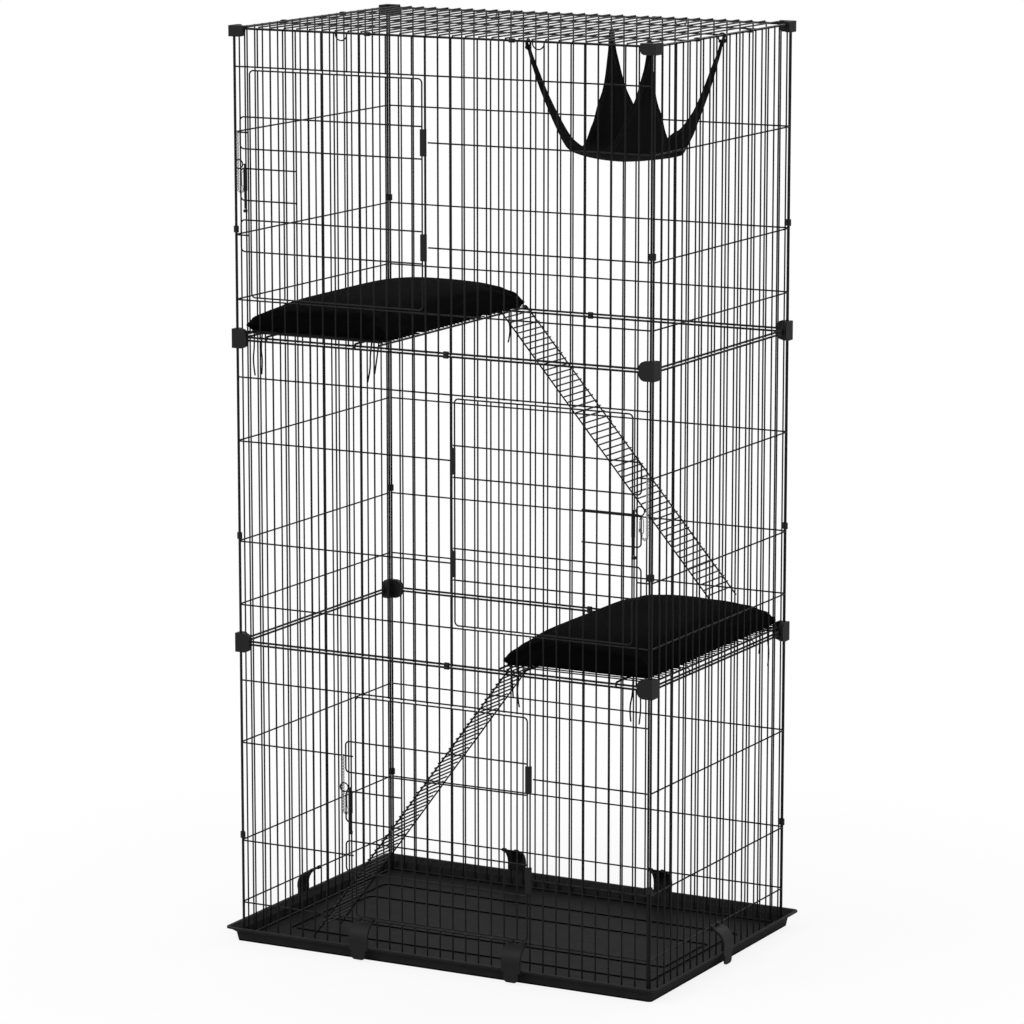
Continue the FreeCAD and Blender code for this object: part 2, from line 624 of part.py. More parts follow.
def snap_hook():
    """Wire hook with an open side, an eye below and cheeks that hold the gate's pin."""
    y = CHAIN_Y
    radius = "(snap_width / 2)"
    low = f"({SNAP_FOOT} + snap_eye + {radius} - snap_eye_wire / 4)"
    high = f"({low} + snap_height - snap_width)"
    left = f"({SNAP_X} - {radius})"
    right = f"({SNAP_X} + {radius})"
    pin_z = f"({low} + snap_wire / 2 + gate_knuckle / 2 + gate_gap)"
    body = [
        ring("snap_eye_ring", "Y", "snap_eye", "snap_eye_wire", (SNAP_X, y, SNAP_FOOT)),
        bend("snap_foot", (-1, 0, 0), (0, 0, -1), radius, "snap_wire", (SNAP_X, y, low), "180"),
        bend("snap_head", (1, 0, 0), (0, 0, 1), radius, "snap_wire", (SNAP_X, y, high), "180"),
        rod("snap_back", "Z", "snap_wire", (left, y, low), f"{high} - {low}"),
    ]
    half_fork = "(gate_width / 2 + gate_gap)"
    cheek_z = f"({low} - snap_wire / 2)"
    for label, cheek_y in (("front", f"{y} - {half_fork} - cheek_thickness"), ("back", f"{y} + {half_fork}")):
        body.append(box(f"snap_cheek_{label}", (f"{right} - snap_wire / 2", cheek_y, cheek_z),
                        ("snap_wire", "cheek_thickness", f"{pin_z} - {cheek_z} + gate_pin")))
    body.append(box("snap_fork_foot",
                    (f"{right} - snap_wire / 2", f"{y} - {half_fork} - cheek_thickness", cheek_z),
                    ("snap_wire", f"2 * ({half_fork} + cheek_thickness)", "snap_wire")))
    body.append(rod("snap_pin", "Y", "gate_pin", (right, f"{y} - {half_fork} - cheek_thickness / 2", pin_z),
                    f"2 * {half_fork} + cheek_thickness"))
    knuckle_y = f"({y} - gate_width / 2)"
    knuckle = rod("gate_knuckle_tube", "Y", "gate_knuckle", (right, knuckle_y, pin_z), "gate_width")
    arm = rod("gate_arm_rod", "Z", "gate_arm", (right, y, pin_z),
              f"{high} - snap_wire / 2 - gate_gap - {pin_z}")
    bore = rod("gate_bore", "Y", "gate_pin + 2 * running_clearance", (right, knuckle_y, pin_z), "gate_width")
    return fuse("snap_hook", body), cut("snap_gate", fuse("gate_arm_and_knuckle", [knuckle, arm]), [bore])


hook_body, hook_gate = snap_hook()
DOOR_KIT = {
    "door": group("door_kit", door()),
    "door_hinges": group("hinge_kit", hinge_sleeves()),
    "latch_barrel": group("barrel_kit", [latch_barrel()]),
    "latch_bolt": group("bolt_kit", [latch_bolt()]),
    "latch_keeper": group("keeper_kit", [latch_keeper()]),
    "safety_chain": group("chain_kit", safety_chain()),
    "snap_hook": group("snap_kit", [hook_body]),
    "snap_gate": group("gate_kit", [hook_gate]),
}
keepers = []
for tier, (level, first, hinge_right) in enumerate(DOORS):
    hinge_at = (front_wire(first + DOOR_GAPS if hinge_right else first), "0", base(tier))
    for piece, kit in DOOR_KIT.items():
        turned = kit if hinge_right else mirrored(f"{piece}_turned", kit, (1, 0, 0))
        if piece == "latch_keeper":
            keepers.append(group(f"keeper_{level}", [turned], hinge_at))
        else:
            sub_part(f"{piece}_{level}", [turned], hinge_at)
sub_part("latch_keepers", keepers)


# Shelves, drawn at the left wall with the tier's bottom rail at height 0

BEARER_Z = "(rod_diameter + seat_gap)"
RUNG_Z = f"({BEARER_Z} + (rod_diameter + shelf_rung) / 2 + weld_gap)"
SHELF_EDGE = f"(shelf_width - {HALF_W})"
CUSHION_Z = f"({RUNG_Z} + shelf_rung / 2 + cushion_seat)"
SHELF_ENDS = "(cage_depth / 2 - shelf_wall_gap)"
HALF_RUNGS = round(value(f"({SHELF_ENDS} - shelf_rung) / shelf_rung_pitch"))
RUNG_STEP = f"(({SHELF_ENDS} - shelf_rung) / {HALF_RUNGS})"


def bearer(name, x):
    """Rod along Y whose ends hook over the front and back rails."""
    pieces = [rod(f"{name}_run", "Y", "rod_diameter", (x, f"-{HALF_D}", BEARER_Z), "cage_depth")]
    for label, sign in (("front", -1), ("back", 1)):
        wall = f"{sign} * {HALF_D}"
        pieces.append(bend(f"{name}_{label}_bend", (0, 0, 1), (0, sign, 0), BEARER_Z, "rod_diameter",
                           (x, wall, "0")))
        pieces.append(rod(f"{name}_{label}_tail", "Z", "rod_diameter",
                          (x, f"{wall} + {sign} * {BEARER_Z}", "-shelf_hook"), "shelf_hook"))
    return fuse(name, pieces)


def side_hook(name, y):
    """Wire along X across the shelf whose end hooks over the side rail."""
    reach = "(rod_diameter / 2 + shelf_rung)"
    start = f"-{HALF_W}"
    return fuse(name, [
        rod(f"{name}_run", "X", "shelf_rung", (start, y, RUNG_Z), f"{SHELF_EDGE} + {HALF_W}"),
        bend(f"{name}_bend", (0, 0, 1), (-1, 0, 0), reach, "shelf_rung", (start, y, f"{RUNG_Z} - {reach}")),
        rod(f"{name}_tail", "Z", "shelf_rung", (f"{start} - {reach}", y, f"{RUNG_Z} - {reach} - shelf_hook"),
            "shelf_hook"),
    ])


def shelf():
    """Two bearers, two edge rods, close wires across them and two side hooks."""
    inner_bearer = round(value(f"shelf_width / ({FRONT_PITCH})")) - 1.5
    wall_x = f"(shelf_wall_gap - {HALF_W})"
    pieces = [bearer("bearer_outer", front_wire(2.5)), bearer("bearer_inner", front_wire(inner_bearer))]
    for label, x, end in (("wall", wall_x, SHELF_ENDS), ("open", SHELF_EDGE, HALF_D)):
        pieces.append(rod(f"shelf_edge_{label}", "Y", "rod_diameter", (x, f"-{end}", BEARER_Z), f"2 * {end}"))
    hooks = [round(SIDE_GAPS / 4) + 0.5, SIDE_GAPS - round(SIDE_GAPS / 4) - 0.5]
    hook_places = [value(side_wire(index)) for index in hooks]
    for index in range(-HALF_RUNGS, HALF_RUNGS + 1):
        y = f"({index} * {RUNG_STEP})"
        if min(abs(value(y) - hook_y) for hook_y in hook_places) > value("shelf_rung_pitch") / 2:
            pieces.append(rod(f"shelf_rung_{index + HALF_RUNGS}", "X", "shelf_rung", (wall_x, y, RUNG_Z),
                              f"{SHELF_EDGE} - {wall_x}"))
    pieces += [side_hook(f"shelf_hook_{order}", side_wire(index)) for order, index in enumerate(hooks)]
    return pieces


CUSHION_STATIONS = 8
CUSHION_FULLNESS = 5
CUSHION_CORNER_POWER = 30
CUSHION_END_CROWN = 0.38
CUSHION_END_WIDTH = 0.94
CUSHION_WAIST = 0.035
CUSHION_FOOT_ROLL = 0.20
CUSHION_SHOULDER_ROLL = 0.42
CUSHION_SIDE = 0.74


def cushion_section(name, y, half, crown):
    """Flat underside, arcs up both sides and a crowned arc across the top."""
    centre = value(f"cushion_wall_gap + cushion_width / 2 - {HALF_W}")
    floor = value(CUSHION_Z)
    foot = half - crown * CUSHION_FOOT_ROLL
    shoulder = half - crown * CUSHION_SHOULDER_ROLL
    side = crown * CUSHION_SIDE

    def at(x, z):
        return centre + x, y, floor + z
    return outline(name, [
        at(-foot, 0), at(foot, 0), (at(half, side / 2), at(shoulder, side)),
        (at(0, crown), at(-shoulder, side)), (at(-half, side / 2), at(-foot, 0)),
    ])


def cushion():
    """Padded cushion: low rounded ends, drawn-in long sides and a crowned top."""
    sections = []
    for step in range(-CUSHION_STATIONS, CUSHION_STATIONS + 1):
        share = math.sin(math.pi / 2 * step / CUSHION_STATIONS)
        puff = math.sqrt(max(0, 1 - abs(share) ** CUSHION_FULLNESS))
        crown = CUSHION_END_CROWN + (1 - CUSHION_END_CROWN) * puff
        width = 1 - CUSHION_WAIST * (1 - share ** 2)
        width *= 1 - (1 - CUSHION_END_WIDTH) * abs(share) ** CUSHION_CORNER_POWER
        name = f"cushion_section_{step + CUSHION_STATIONS}"
        sections.append(cushion_section(name, share * value("cushion_length / 2"),
                                        width * value("cushion_width / 2"), crown * value("cushion_height")))
    return loft("cushion_pad", sections, ruled=True)


# Tie strings at the cushion's corners: points from where each leaves the cushion
TIES = [
    ("front_wall_outer", [(0, 0, 0), (1.5, -3, -30), (-1, -5, -57), (3, -4, -84)]),
    ("front_wall_inner", [(0, 0, 0), (-2, -4, -28), (4, -7, -54), (1, -6, -80)]),
    ("front_open_outer", [(0, 0, 0), (-3, -2, -30), (-7, -5, -62)]),
    ("front_open_inner", [(0, 0, 0), (-3, -3, -27), (0, -6, -52), (-6, -7, -78)]),
    ("back_wall_outer", [(0, 0, 0), (2, 3, -29), (-2, 5, -56), (1, 4, -82)]),
    ("back_wall_inner", [(0, 0, 0), (-1, 4, -31), (3, 6, -60)]),
    ("back_open_outer", [(0, 0, 0), (-2, 3, -30), (-1, 6, -64)]),
    ("back_open_inner", [(0, 0, 0), (-4, 2, -28), (-1, 5, -55), (-7, 6, -76)]),
]
TIE_WALL_PLACES = {"outer": 22, "inner": 40}
TIE_OPEN_PLACES = {"outer": 12, "inner": 27}
ARC_SHARE = 0.45


def tie_route(name, points):
    """Straight runs joined by tangent arcs."""
    edges, radii = [], []
    here = points[0]
    for before, corner, after in zip(points, points[1:], points[2:]):
        inward, outward = before - corner, after - corner
        half_turn = (math.pi - inward.getAngle(outward)) / 2
        setback = ARC_SHARE * min(inward.Length, outward.Length)
        radius = setback / math.tan(half_turn)
        inward.normalize()
        outward.normalize()
        towards = inward + outward
        towards.normalize()
        middle = corner + towards * (radius / math.cos(half_turn) - radius)
        first, last = corner + inward * setback, corner + outward * setback
        edges += [Part.LineSegment(here, first).toShape(), Part.Arc(first, middle, last).toShape()]
        radii.append(round(radius, 1))
        here = last
    edges.append(Part.LineSegment(here, points[-1]).toShape())
    print("tie", name, "arc radii", radii)
    route = new("Part::Feature", f"{name}_route")
    route.Shape = Part.Wire(edges)
    return route


def tie(name, offsets):
    """Tie string: a round tube hanging between the shelf wires from the cushion's underside."""
    end, wall, strand = name.split("_")
    y = value(f"({HALF_RUNGS} - 0.5) * {RUNG_STEP}") * (-1 if end == "front" else 1)
    if wall == "wall":
        x = value(f"cushion_wall_gap - {HALF_W}") + TIE_WALL_PLACES[strand]
    else:
        x = value(SHELF_EDGE) - TIE_OPEN_PLACES[strand]
    start = Vector(x, y, value(f"{CUSHION_Z} - 2 * seat_gap"))
    points = [start + Vector(*offset) for offset in offsets]
    route = tie_route(name, points)
    section = new("Part::Circle", f"{name}_section")
    bind(section, Radius="tie_diameter / 2")
    section.Placement = FreeCAD.Placement(start, FreeCAD.Rotation(Vector(0, 0, 1), points[1] - start))
    string = new("Part::Sweep", f"{name}_tie")
    string.Sections = [section]
    string.Spine = (route, [f"Edge{index + 1}" for index in range(len(route.Shape.Edges))])
    string.Solid = True
    string.Frenet = False
    return string


SHELF_KIT = {
    "shelf": group("shelf_kit", shelf()),
    "cushion": group("cushion_kit", [cushion()]),
    "cushion_ties": group("tie_kit", [tie(name, offsets) for name, offsets in TIES]),
}
for piece, kit in SHELF_KIT.items():
    sub_part(f"upper_{piece}", [kit], ("0", "0", base(2)))
    sub_part(f"lower_{piece}", [mirrored(f"{piece}_turned", kit, (1, 0, 0))], ("0", "0", base(1)))


# Ramps, drawn level along +X from the shelf's edge rod

RAMP_HOOK = "((rod_diameter + ramp_wire) / 2 + running_clearance)"
RAMP_WIDTH = f"(round(ramp_gap_count) * {RUNG_STEP})"
RAMP_RUNG_Z = f"({RAMP_HOOK} + (ramp_wire + ramp_rung) / 2 + weld_gap)"


def ramp(name, length):
    """Two rails hooked over the shelf's edge rod, with rungs on top."""
    pieces = []
    for label, y in (("front", "0"), ("back", RAMP_WIDTH)):
        rail = rod(f"{name}_{label}_rail", "X", "ramp_wire", ("0", y, RAMP_HOOK), length)
        hook = bend(f"{name}_{label}_hook", (0, 0, 1), (-1, 0, 0), RAMP_HOOK, "ramp_wire", ("0", y, "0"),
                    "ramp_hook_angle")
        pieces.append(fuse(f"{name}_{label}", [rail, hook]))
    for index in range(1, int(value(f"{length} / ramp_rung_pitch"))):
        start = (f"{index} * ramp_rung_pitch", "0", RAMP_RUNG_Z)
        pieces.append(rod(f"{name}_rung_{index}", "Y", "ramp_rung", start, RAMP_WIDTH))
    return group(f"{name}_kit", pieces)


def hinged_ramp(name, kit, at, slope):
    """Ramp turned down to its slope about the shelf's edge rod."""
    node = sub_part(name, [kit])
    node.Placement = FreeCAD.Placement(Vector(), FreeCAD.Rotation(Vector(0, 1, 0), value(slope)))
    node.setExpression("Placement.Rotation.Angle", linked(slope))
    place(node, at)


UPPER_DROP = f"({base(2)} + {BEARER_Z} - {base(1)} - {CUSHION_Z} - cushion_height - ramp_foot_gap)"
LOWER_DROP = f"({base(1)} + {BEARER_Z} - tray_floor - ramp_foot_gap)"
upper_ramp = ramp("upper_ramp", f"sqrt(upper_ramp_run ^ 2 + {UPPER_DROP} ^ 2)")
lower_ramp = mirrored("lower_ramp_turned",
                      ramp("lower_ramp", f"sqrt(lower_ramp_run ^ 2 + {LOWER_DROP} ^ 2)"), (1, 0, 0))
hinged_ramp("upper_ramp", upper_ramp,
            (SHELF_EDGE, f"({HALF_RUNGS} + 0.5) * {RUNG_STEP} - {RAMP_WIDTH}", f"{base(2)} + {BEARER_Z}"),
            f"atan({UPPER_DROP} / upper_ramp_run)")
hinged_ramp("lower_ramp", lower_ramp,
            (f"-{SHELF_EDGE}", f"(round(lower_ramp_gap_count) + 0.5 - {HALF_RUNGS}) * {RUNG_STEP}",
             f"{base(1)} + {BEARER_Z}"),
            f"-atan({LOWER_DROP} / lower_ramp_run)")


# Hammock in the upper tier, hung from four rings

PAIR_DROP = "sqrt((hanger_radius - (hanger_wire + rod_diameter) / 2 - weld_gap) ^ 2 - (roof_inset / 2) ^ 2)"
WIRE_DROP = "(small_hanger_radius - (hanger_wire + wire_diameter) / 2 - weld_gap)"
# Where the rings hang: wires in from the right wall, and back from the front wall
FRONT_LEFT_WIRES, FRONT_RIGHT_WIRES, BACK_LEFT_WIRES = 9.3, 1, 8.5
FRONT_RIGHT_BACK = 1.35
HANGERS = [
    ("front_left", "X", "hanger_radius",
     (front_wire(FRONT_GAPS - FRONT_LEFT_WIRES), f"-({HALF_D} - roof_inset / 2)", f"{ROOF} - {PAIR_DROP}")),
    ("front_right", "Y", "small_hanger_radius",
     (front_wire(FRONT_GAPS - FRONT_RIGHT_WIRES), side_wire(FRONT_RIGHT_BACK),
      f"{ROOF} + {UPRIGHT} - {WIRE_DROP}")),
    ("back_right", "Y", "hanger_radius",
     (f"{HALF_W} - roof_inset / 2", f"-{SIDE_PITCH} / 4", f"{ROOF} - {PAIR_DROP}")),
    ("back_left", "X", "small_hanger_radius",
     (front_wire(FRONT_GAPS - BACK_LEFT_WIRES), "0", f"{ROOF} + {CROSS} - {WIRE_DROP}")),
]
# Place up the strap, share of the way out, strap width as a share between its ends, depth of the trough
STRAP_STATIONS = [
    (-0.04, -0.05, 1.0, 0.02),
    (0.2, 0.26, 0.60, 0.10),
    (0.5, 0.56, 0.27, 0.16),
    (1.0, 1.0, 0.0, 0.20),
]
BOWL_CUT = 0.72
BOWL_FOOT = 0.7
STRAP_FOOT_SHARE = 0.9


def bowl(name, centre, half_x, half_y, rim, foot):
    """Eight-sided bowl between its rim and a smaller foot."""
    def corners(share, z):
        x, y = half_x * share, half_y * share
        trim = min(x, y) * BOWL_CUT
        ring_points = [(x, y - trim), (x - trim, y), (trim - x, y), (-x, y - trim),
                       (-x, trim - y), (trim - x, -y), (x - trim, -y), (x, trim - y)]
        return [(centre.x + dx, centre.y + dy, z) for dx, dy in ring_points]
    sections = [outline(f"{name}_{label}", corners(share, z)) for label, share, z in
                (("foot", BOWL_FOOT, foot), ("rim", 1.0, rim))]
    return loft(name, sections, ruled=True)


def strap(name, start, end, along, wide):
    """Gathered strap from the bowl's corner to its ring, troughed across its width."""
    cloth, narrow = value("hammock_cloth"), value("hammock_strap")
    run = end - start
    face = run.cross(along)
    face.normalize()
    if face.z > 0:
        face = face * -1
    sections = []
    for index, (rise, out, share, depth) in enumerate(STRAP_STATIONS):
        centre = start + Vector(run.x * out, run.y * out, run.z * rise)
        half = (narrow + (wide - narrow) * share) / 2
        left, right = centre - along * half, centre + along * half
        dip = face * (2 * half * depth)
        thick = face * cloth
        corners = [left, right, right + thick, left + thick]
        low, high = centre + dip, centre + dip + thick
        points = [tuple(point) for point in corners]
        sections.append(outline(f"{name}_section_{index}", [
            points[0], (tuple(low), points[1]), points[2], (tuple(high), points[3]), points[0]]))
    return loft(name, sections)


def hammock():
    """Cloth bowl with a strap at each corner."""
    spots = [Vector(*(value(text) for text in centre)) for label, axis, radius, centre in HANGERS]
    middle = (spots[0] + spots[1] + spots[2] + spots[3]) * 0.25
    rim = value(f"{ROOF} - hammock_drop")
    foot = rim - value("hammock_sag")
    cloth = value("hammock_cloth")
    half_x, half_y = value("hammock_bowl_x / 2"), value("hammock_bowl_y / 2")
    shell = cut("hammock_bowl", bowl("bowl_outer", middle, half_x, half_y, rim, foot),
                [bowl("bowl_inner", middle, half_x - cloth, half_y - cloth, rim + cloth, foot + cloth)])
    trim = min(half_x, half_y) * BOWL_CUT
    pieces = [shell]
    for (label, axis, radius, centre), spot in zip(HANGERS, spots):
        sign_x = 1 if spot.x > middle.x else -1
        sign_y = 1 if spot.y > middle.y else -1
        inset = trim / 2 + cloth / 2
        start = Vector(middle.x + sign_x * (half_x - inset), middle.y + sign_y * (half_y - inset), rim)
        along = Vector(-sign_x, sign_y, 0)
        along.normalize()
        end = spot - Vector(0, 0, value(f"{radius} + hanger_wire / 2 + 4 * seat_gap"))
        pieces.append(strap(f"strap_{label}", start, end, along, trim * math.sqrt(2) * STRAP_FOOT_SHARE))
    return fuse("hammock_cloth_piece", pieces)


sub_part("hammock", [hammock()])
sub_part("hammock_rings", [ring(f"hanger_{label}", axis, radius, "hanger_wire", centre)
                           for label, axis, radius, centre in HANGERS])


# Corner connectors, corner clips, rail clips, roof clips and roof loops

def leaf(name, along, foot, height, rounded, both_ends):
    """Plate from the outer corner along one wall, its free end rounded above, or above and below."""
    thick = "(connector_outer + connector_inner)"
    out_x, out_y = f"(-{HALF_W} - connector_outer)", f"(-{HALF_D} - connector_outer)"
    straight = f"(connector_length - {rounded})"

    def plate(label, start, length, low, tall):
        if along == "X":
            return box(f"{name}_{label}", (f"{out_x} + {start}", out_y, low), (length, thick, tall))
        return box(f"{name}_{label}", (out_x, f"{out_y} + {start}", low), (thick, length, tall))

    def corner(label, z):
        if along == "X":
            return rod(f"{name}_{label}", "Y", f"2 * {rounded}", (f"{out_x} + {straight}", out_y, z), thick)
        return rod(f"{name}_{label}", "X", f"2 * {rounded}", (out_x, f"{out_y} + {straight}", z), thick)
    top_z = f"({foot} + {height} - {rounded})" if both_ends else f"({foot} + {height})"
    pieces = [plate("root", "0", straight, foot, height),
              plate("tip", straight, rounded, f"{foot} + {rounded}", f"{top_z} - {foot} - {rounded}"),
              corner("low", f"{foot} + {rounded}")]
    if both_ends:
        pieces.append(corner("high", top_z))
    return pieces


GRIP = "rod_diameter + 2 * grip_clearance"
# A rail's bore is a little tighter than the edge rod's, so that the two bores cross cleanly
RAIL_GRIP = "rod_diameter + 1.4 * grip_clearance"


def corner_bores(name, rails, foot, height):
    """Room for the two edge rods and for level rods at the given heights."""
    edge_x, edge_y = f"(corner_inset - {HALF_W})", f"(corner_inset - {HALF_D})"
    tools = [rod(f"{name}_front_edge", "Z", GRIP, (edge_x, f"-{HALF_D}", foot), height),
             rod(f"{name}_side_edge", "Z", GRIP, (f"-{HALF_W}", edge_y, foot), height)]
    for index, height_of_rail in enumerate(rails):
        tools.append(rod(f"{name}_front_rail_{index}", "X", RAIL_GRIP, (edge_x, f"-{HALF_D}", height_of_rail),
                         "connector_length"))
        tools.append(rod(f"{name}_side_rail_{index}", "Y", RAIL_GRIP, (f"-{HALF_W}", edge_y, height_of_rail),
                         "connector_length"))
    return tools


def tier_connector():
    """Connector round the rods that meet at a corner between two tiers, about the upper tier's rail."""
    foot = "(-(rod_diameter + rail_gap) / 2 - connector_height / 2)"
    plates = (leaf("tier_front", "X", foot, "connector_height", "connector_round", True)
              + leaf("tier_side", "Y", foot, "connector_height", "connector_round", True))
    bores = corner_bores("tier", ["0", "-(rod_diameter + rail_gap)"], foot, "connector_height")
    return cut("tier_connector", fuse("tier_leaves", plates), bores)


def top_connector():
    """Connector over the rods that meet at a top corner, the roof frame's among them."""
    foot = "(-connector_skirt)"
    height = "(connector_skirt + connector_cap)"
    plates = (leaf("top_front", "X", foot, height, "connector_top_round", False)
              + leaf("top_side", "Y", foot, height, "connector_top_round", False))
    bores = corner_bores("top", ["0"], foot, "(connector_skirt + rod_diameter / 2 + 3 * grip_clearance)")
    roof_x, roof_y = f"(roof_inset - {HALF_W})", f"(roof_inset - {HALF_D})"
    for label, along, start in (("edge", "X", (f"{roof_x} - rod_diameter", roof_y, "0")),
                                ("side", "Y", (roof_x, f"{roof_y} - rod_diameter", "0"))):
        bores.append(rod(f"top_roof_{label}", along, GRIP, start, "connector_length"))
    return cut("top_connector", fuse("top_leaves", plates), bores)


def two_lobes(name, along, lobe, length, first, second):
    """Clip of two round lobes, bored for two parallel rods."""
    starts = list(enumerate((first, second)))
    lobes = [rod(f"{name}_lobe_{index}", along, lobe, start, length) for index, start in starts]
    bores = [rod(f"{name}_bore_{index}", along, GRIP, start, length) for index, start in starts]
    return cut(name, fuse(f"{name}_lobes", lobes), bores)


def rail_clip(name, x, y, low):
    """Clip round the two rails that meet between tiers."""
    start = f"({x} - rail_clip_length / 2)"
    return two_lobes(name, "X", "rail_clip_lobe", "rail_clip_length", (start, y, low),
                     (start, y, f"{low} - rod_diameter - rail_gap"))


tier_corners = four_corners("tier_connector", tier_connector())
sub_part("tier_connectors", [group(f"tier_connectors_{tier}", tier_corners, ("0", "0", base(tier)))
                             for tier in (1, 2)])
top_corners = four_corners("top_connector", top_connector())
sub_part("top_connectors", [group("top_connectors_set", top_corners, ("0", "0", ROOF))])
clip_foot = f"({CROSS_LOW} + wire_diameter / 2 + clip_rise)"
corner_clip = two_lobes("corner_clip", "Z", "clip_lobe", "clip_length",
                        (f"corner_inset - {HALF_W}", f"-{HALF_D}", clip_foot),
                        (f"-{HALF_W}", f"corner_inset - {HALF_D}", clip_foot))
corner_clip_set = four_corners("corner_clip", corner_clip)
sub_part("corner_clips", [group(f"corner_clips_{tier}", corner_clip_set, ("0", "0", base(tier)))
                          for tier in range(3)])
middle_gap = front_wire(FRONT_GAPS // 2 + 0.5)
rail_clips = []
for tier in (1, 2):
    for label, y in (("front", f"-{HALF_D}"), ("back", HALF_D)):
        rail_clips.append(rail_clip(f"rail_clip_{label}_{tier}", middle_gap, y, base(tier)))
sub_part("rail_clips", rail_clips)


def roof_clips():
    """Clips that join the roof frame to the walls' top rails: two on each side."""
    third = FRONT_GAPS // 3 + 0.5
    side_third = SIDE_GAPS // 3 - 0.5
    front_x = f"({front_wire(third)} - rail_clip_length / 2)"
    side_y = f"({side_wire(side_third)} - rail_clip_length / 2)"
    front = two_lobes("roof_clip_front", "X", "rail_clip_lobe", "rail_clip_length",
                      (front_x, f"-{HALF_D}", ROOF), (front_x, f"roof_inset - {HALF_D}", ROOF))
    side = two_lobes("roof_clip_side", "Y", "rail_clip_lobe", "rail_clip_length",
                     (f"-{HALF_W}", side_y, ROOF), (f"roof_inset - {HALF_W}", side_y, ROOF))
    return four_corners("roof_clip_front", front) + four_corners("roof_clip_side", side)


sub_part("roof_clips", roof_clips())
loop_hang = bend("roof_loop", (-1, 0, 0), (0, 0, -1), "roof_loop_radius", "roof_loop_wire",
                 (front_wire(FRONT_GAPS // 4 + 0.5), f"-{HALF_D}", f"{ROOF} - rod_diameter / 2 - weld_gap"),
                 "180")
sub_part("roof_loops", four_corners("roof_loop", loop_hang))


# Tray with a flared wall, a rim and grooves in its floor

def rounded(name, margin_x, margin_y, corner_radius, z):
    """Rounded rectangle about the middle of the cage, by its margins outside the wall planes."""
    x, y = value(f"{HALF_W} + {margin_x}"), value(f"{HALF_D} + {margin_y}")
    radius, height = value(corner_radius), value(z)
    inset = radius * (1 - math.sqrt(0.5))
    points = [(x, radius - y, height)]
    for sign_x, sign_y, turn in ((1, 1, True), (-1, 1, False), (-1, -1, True), (1, -1, False)):
        side_point = (sign_x * x, sign_y * (y - radius), height)
        end_point = (sign_x * (x - radius), sign_y * y, height)
        middle = (sign_x * (x - inset), sign_y * (y - inset), height)
        first, last = (side_point, end_point) if turn else (end_point, side_point)
        points += [first, (middle, last)]
    return outline(name, points)


def groove(name, margin_x, margin_y, corner_radius):
    """Ring-shaped groove in the tray's floor."""
    z = "tray_floor - groove_depth"
    outer = rounded(f"{name}_outer", margin_x, margin_y, corner_radius, z)
    inner = rounded(f"{name}_inner", f"{margin_x} - groove_width", f"{margin_y} - groove_width",
                    f"{corner_radius} - groove_width", z)
    return cut(name, extrusion(f"{name}_block", outer, (0, 0, 1), "groove_depth"),
               [extrusion(f"{name}_core", inner, (0, 0, 1), "groove_depth")])


def tray():
    """Hollow tray whose walls flare out to a flat rim, with two grooves in the floor."""
    leaning = "(tray_margin + tray_lean)"
    flared = "(tray_lip - tray_ledge)"
    flare_corner = "(rim_corner - tray_ledge)"
    lip_foot = "(tray_height - tray_lip_thickness)"
    outer = loft("tray_outer", [
        rounded("tray_foot", "tray_margin", "tray_margin", "tray_corner", "0"),
        rounded("tray_knee", leaning, leaning, "tray_corner", "tray_lean_height"),
        rounded("tray_brim", flared, flared, flare_corner, lip_foot)], ruled=True)
    rim = extrusion("tray_rim", rounded("tray_rim_outline", "tray_lip", "tray_lip", "rim_corner", lip_foot),
                    (0, 0, 1), "tray_lip_thickness")
    hollow = loft("tray_hollow", [
        rounded("hollow_foot", "tray_margin - tray_wall", "tray_margin - tray_wall",
                "tray_corner - tray_wall", "tray_floor"),
        rounded("hollow_knee", f"{leaning} - tray_wall", f"{leaning} - tray_wall",
                "tray_corner - tray_wall", "tray_lean_height + tray_wall / 2"),
        rounded("hollow_brim", f"{flared} - tray_wall", f"{flared} - tray_wall",
                f"{flare_corner} - tray_wall", "tray_height")], ruled=True)
    grooves = [groove("outer_floor_groove", "-groove_end", "-outer_groove", "groove_corner"),
               groove("inner_floor_groove", "-groove_end - inner_groove_step", "-inner_groove",
                      "groove_corner")]
    return cut("tray_body", fuse("tray_and_rim", [outer, rim]), [hollow] + grooves)


sub_part("tray", [tray()])


# Tray hooks, drawn for the front wall with the wall's plane at Y 0 and the middle prong gap at X 0

HOOK_Z = f"({FOOT} + band_height)"
TRAY_HOOK_CURVE = 0.7
TRAY_HOOK_SWELL = 0.75


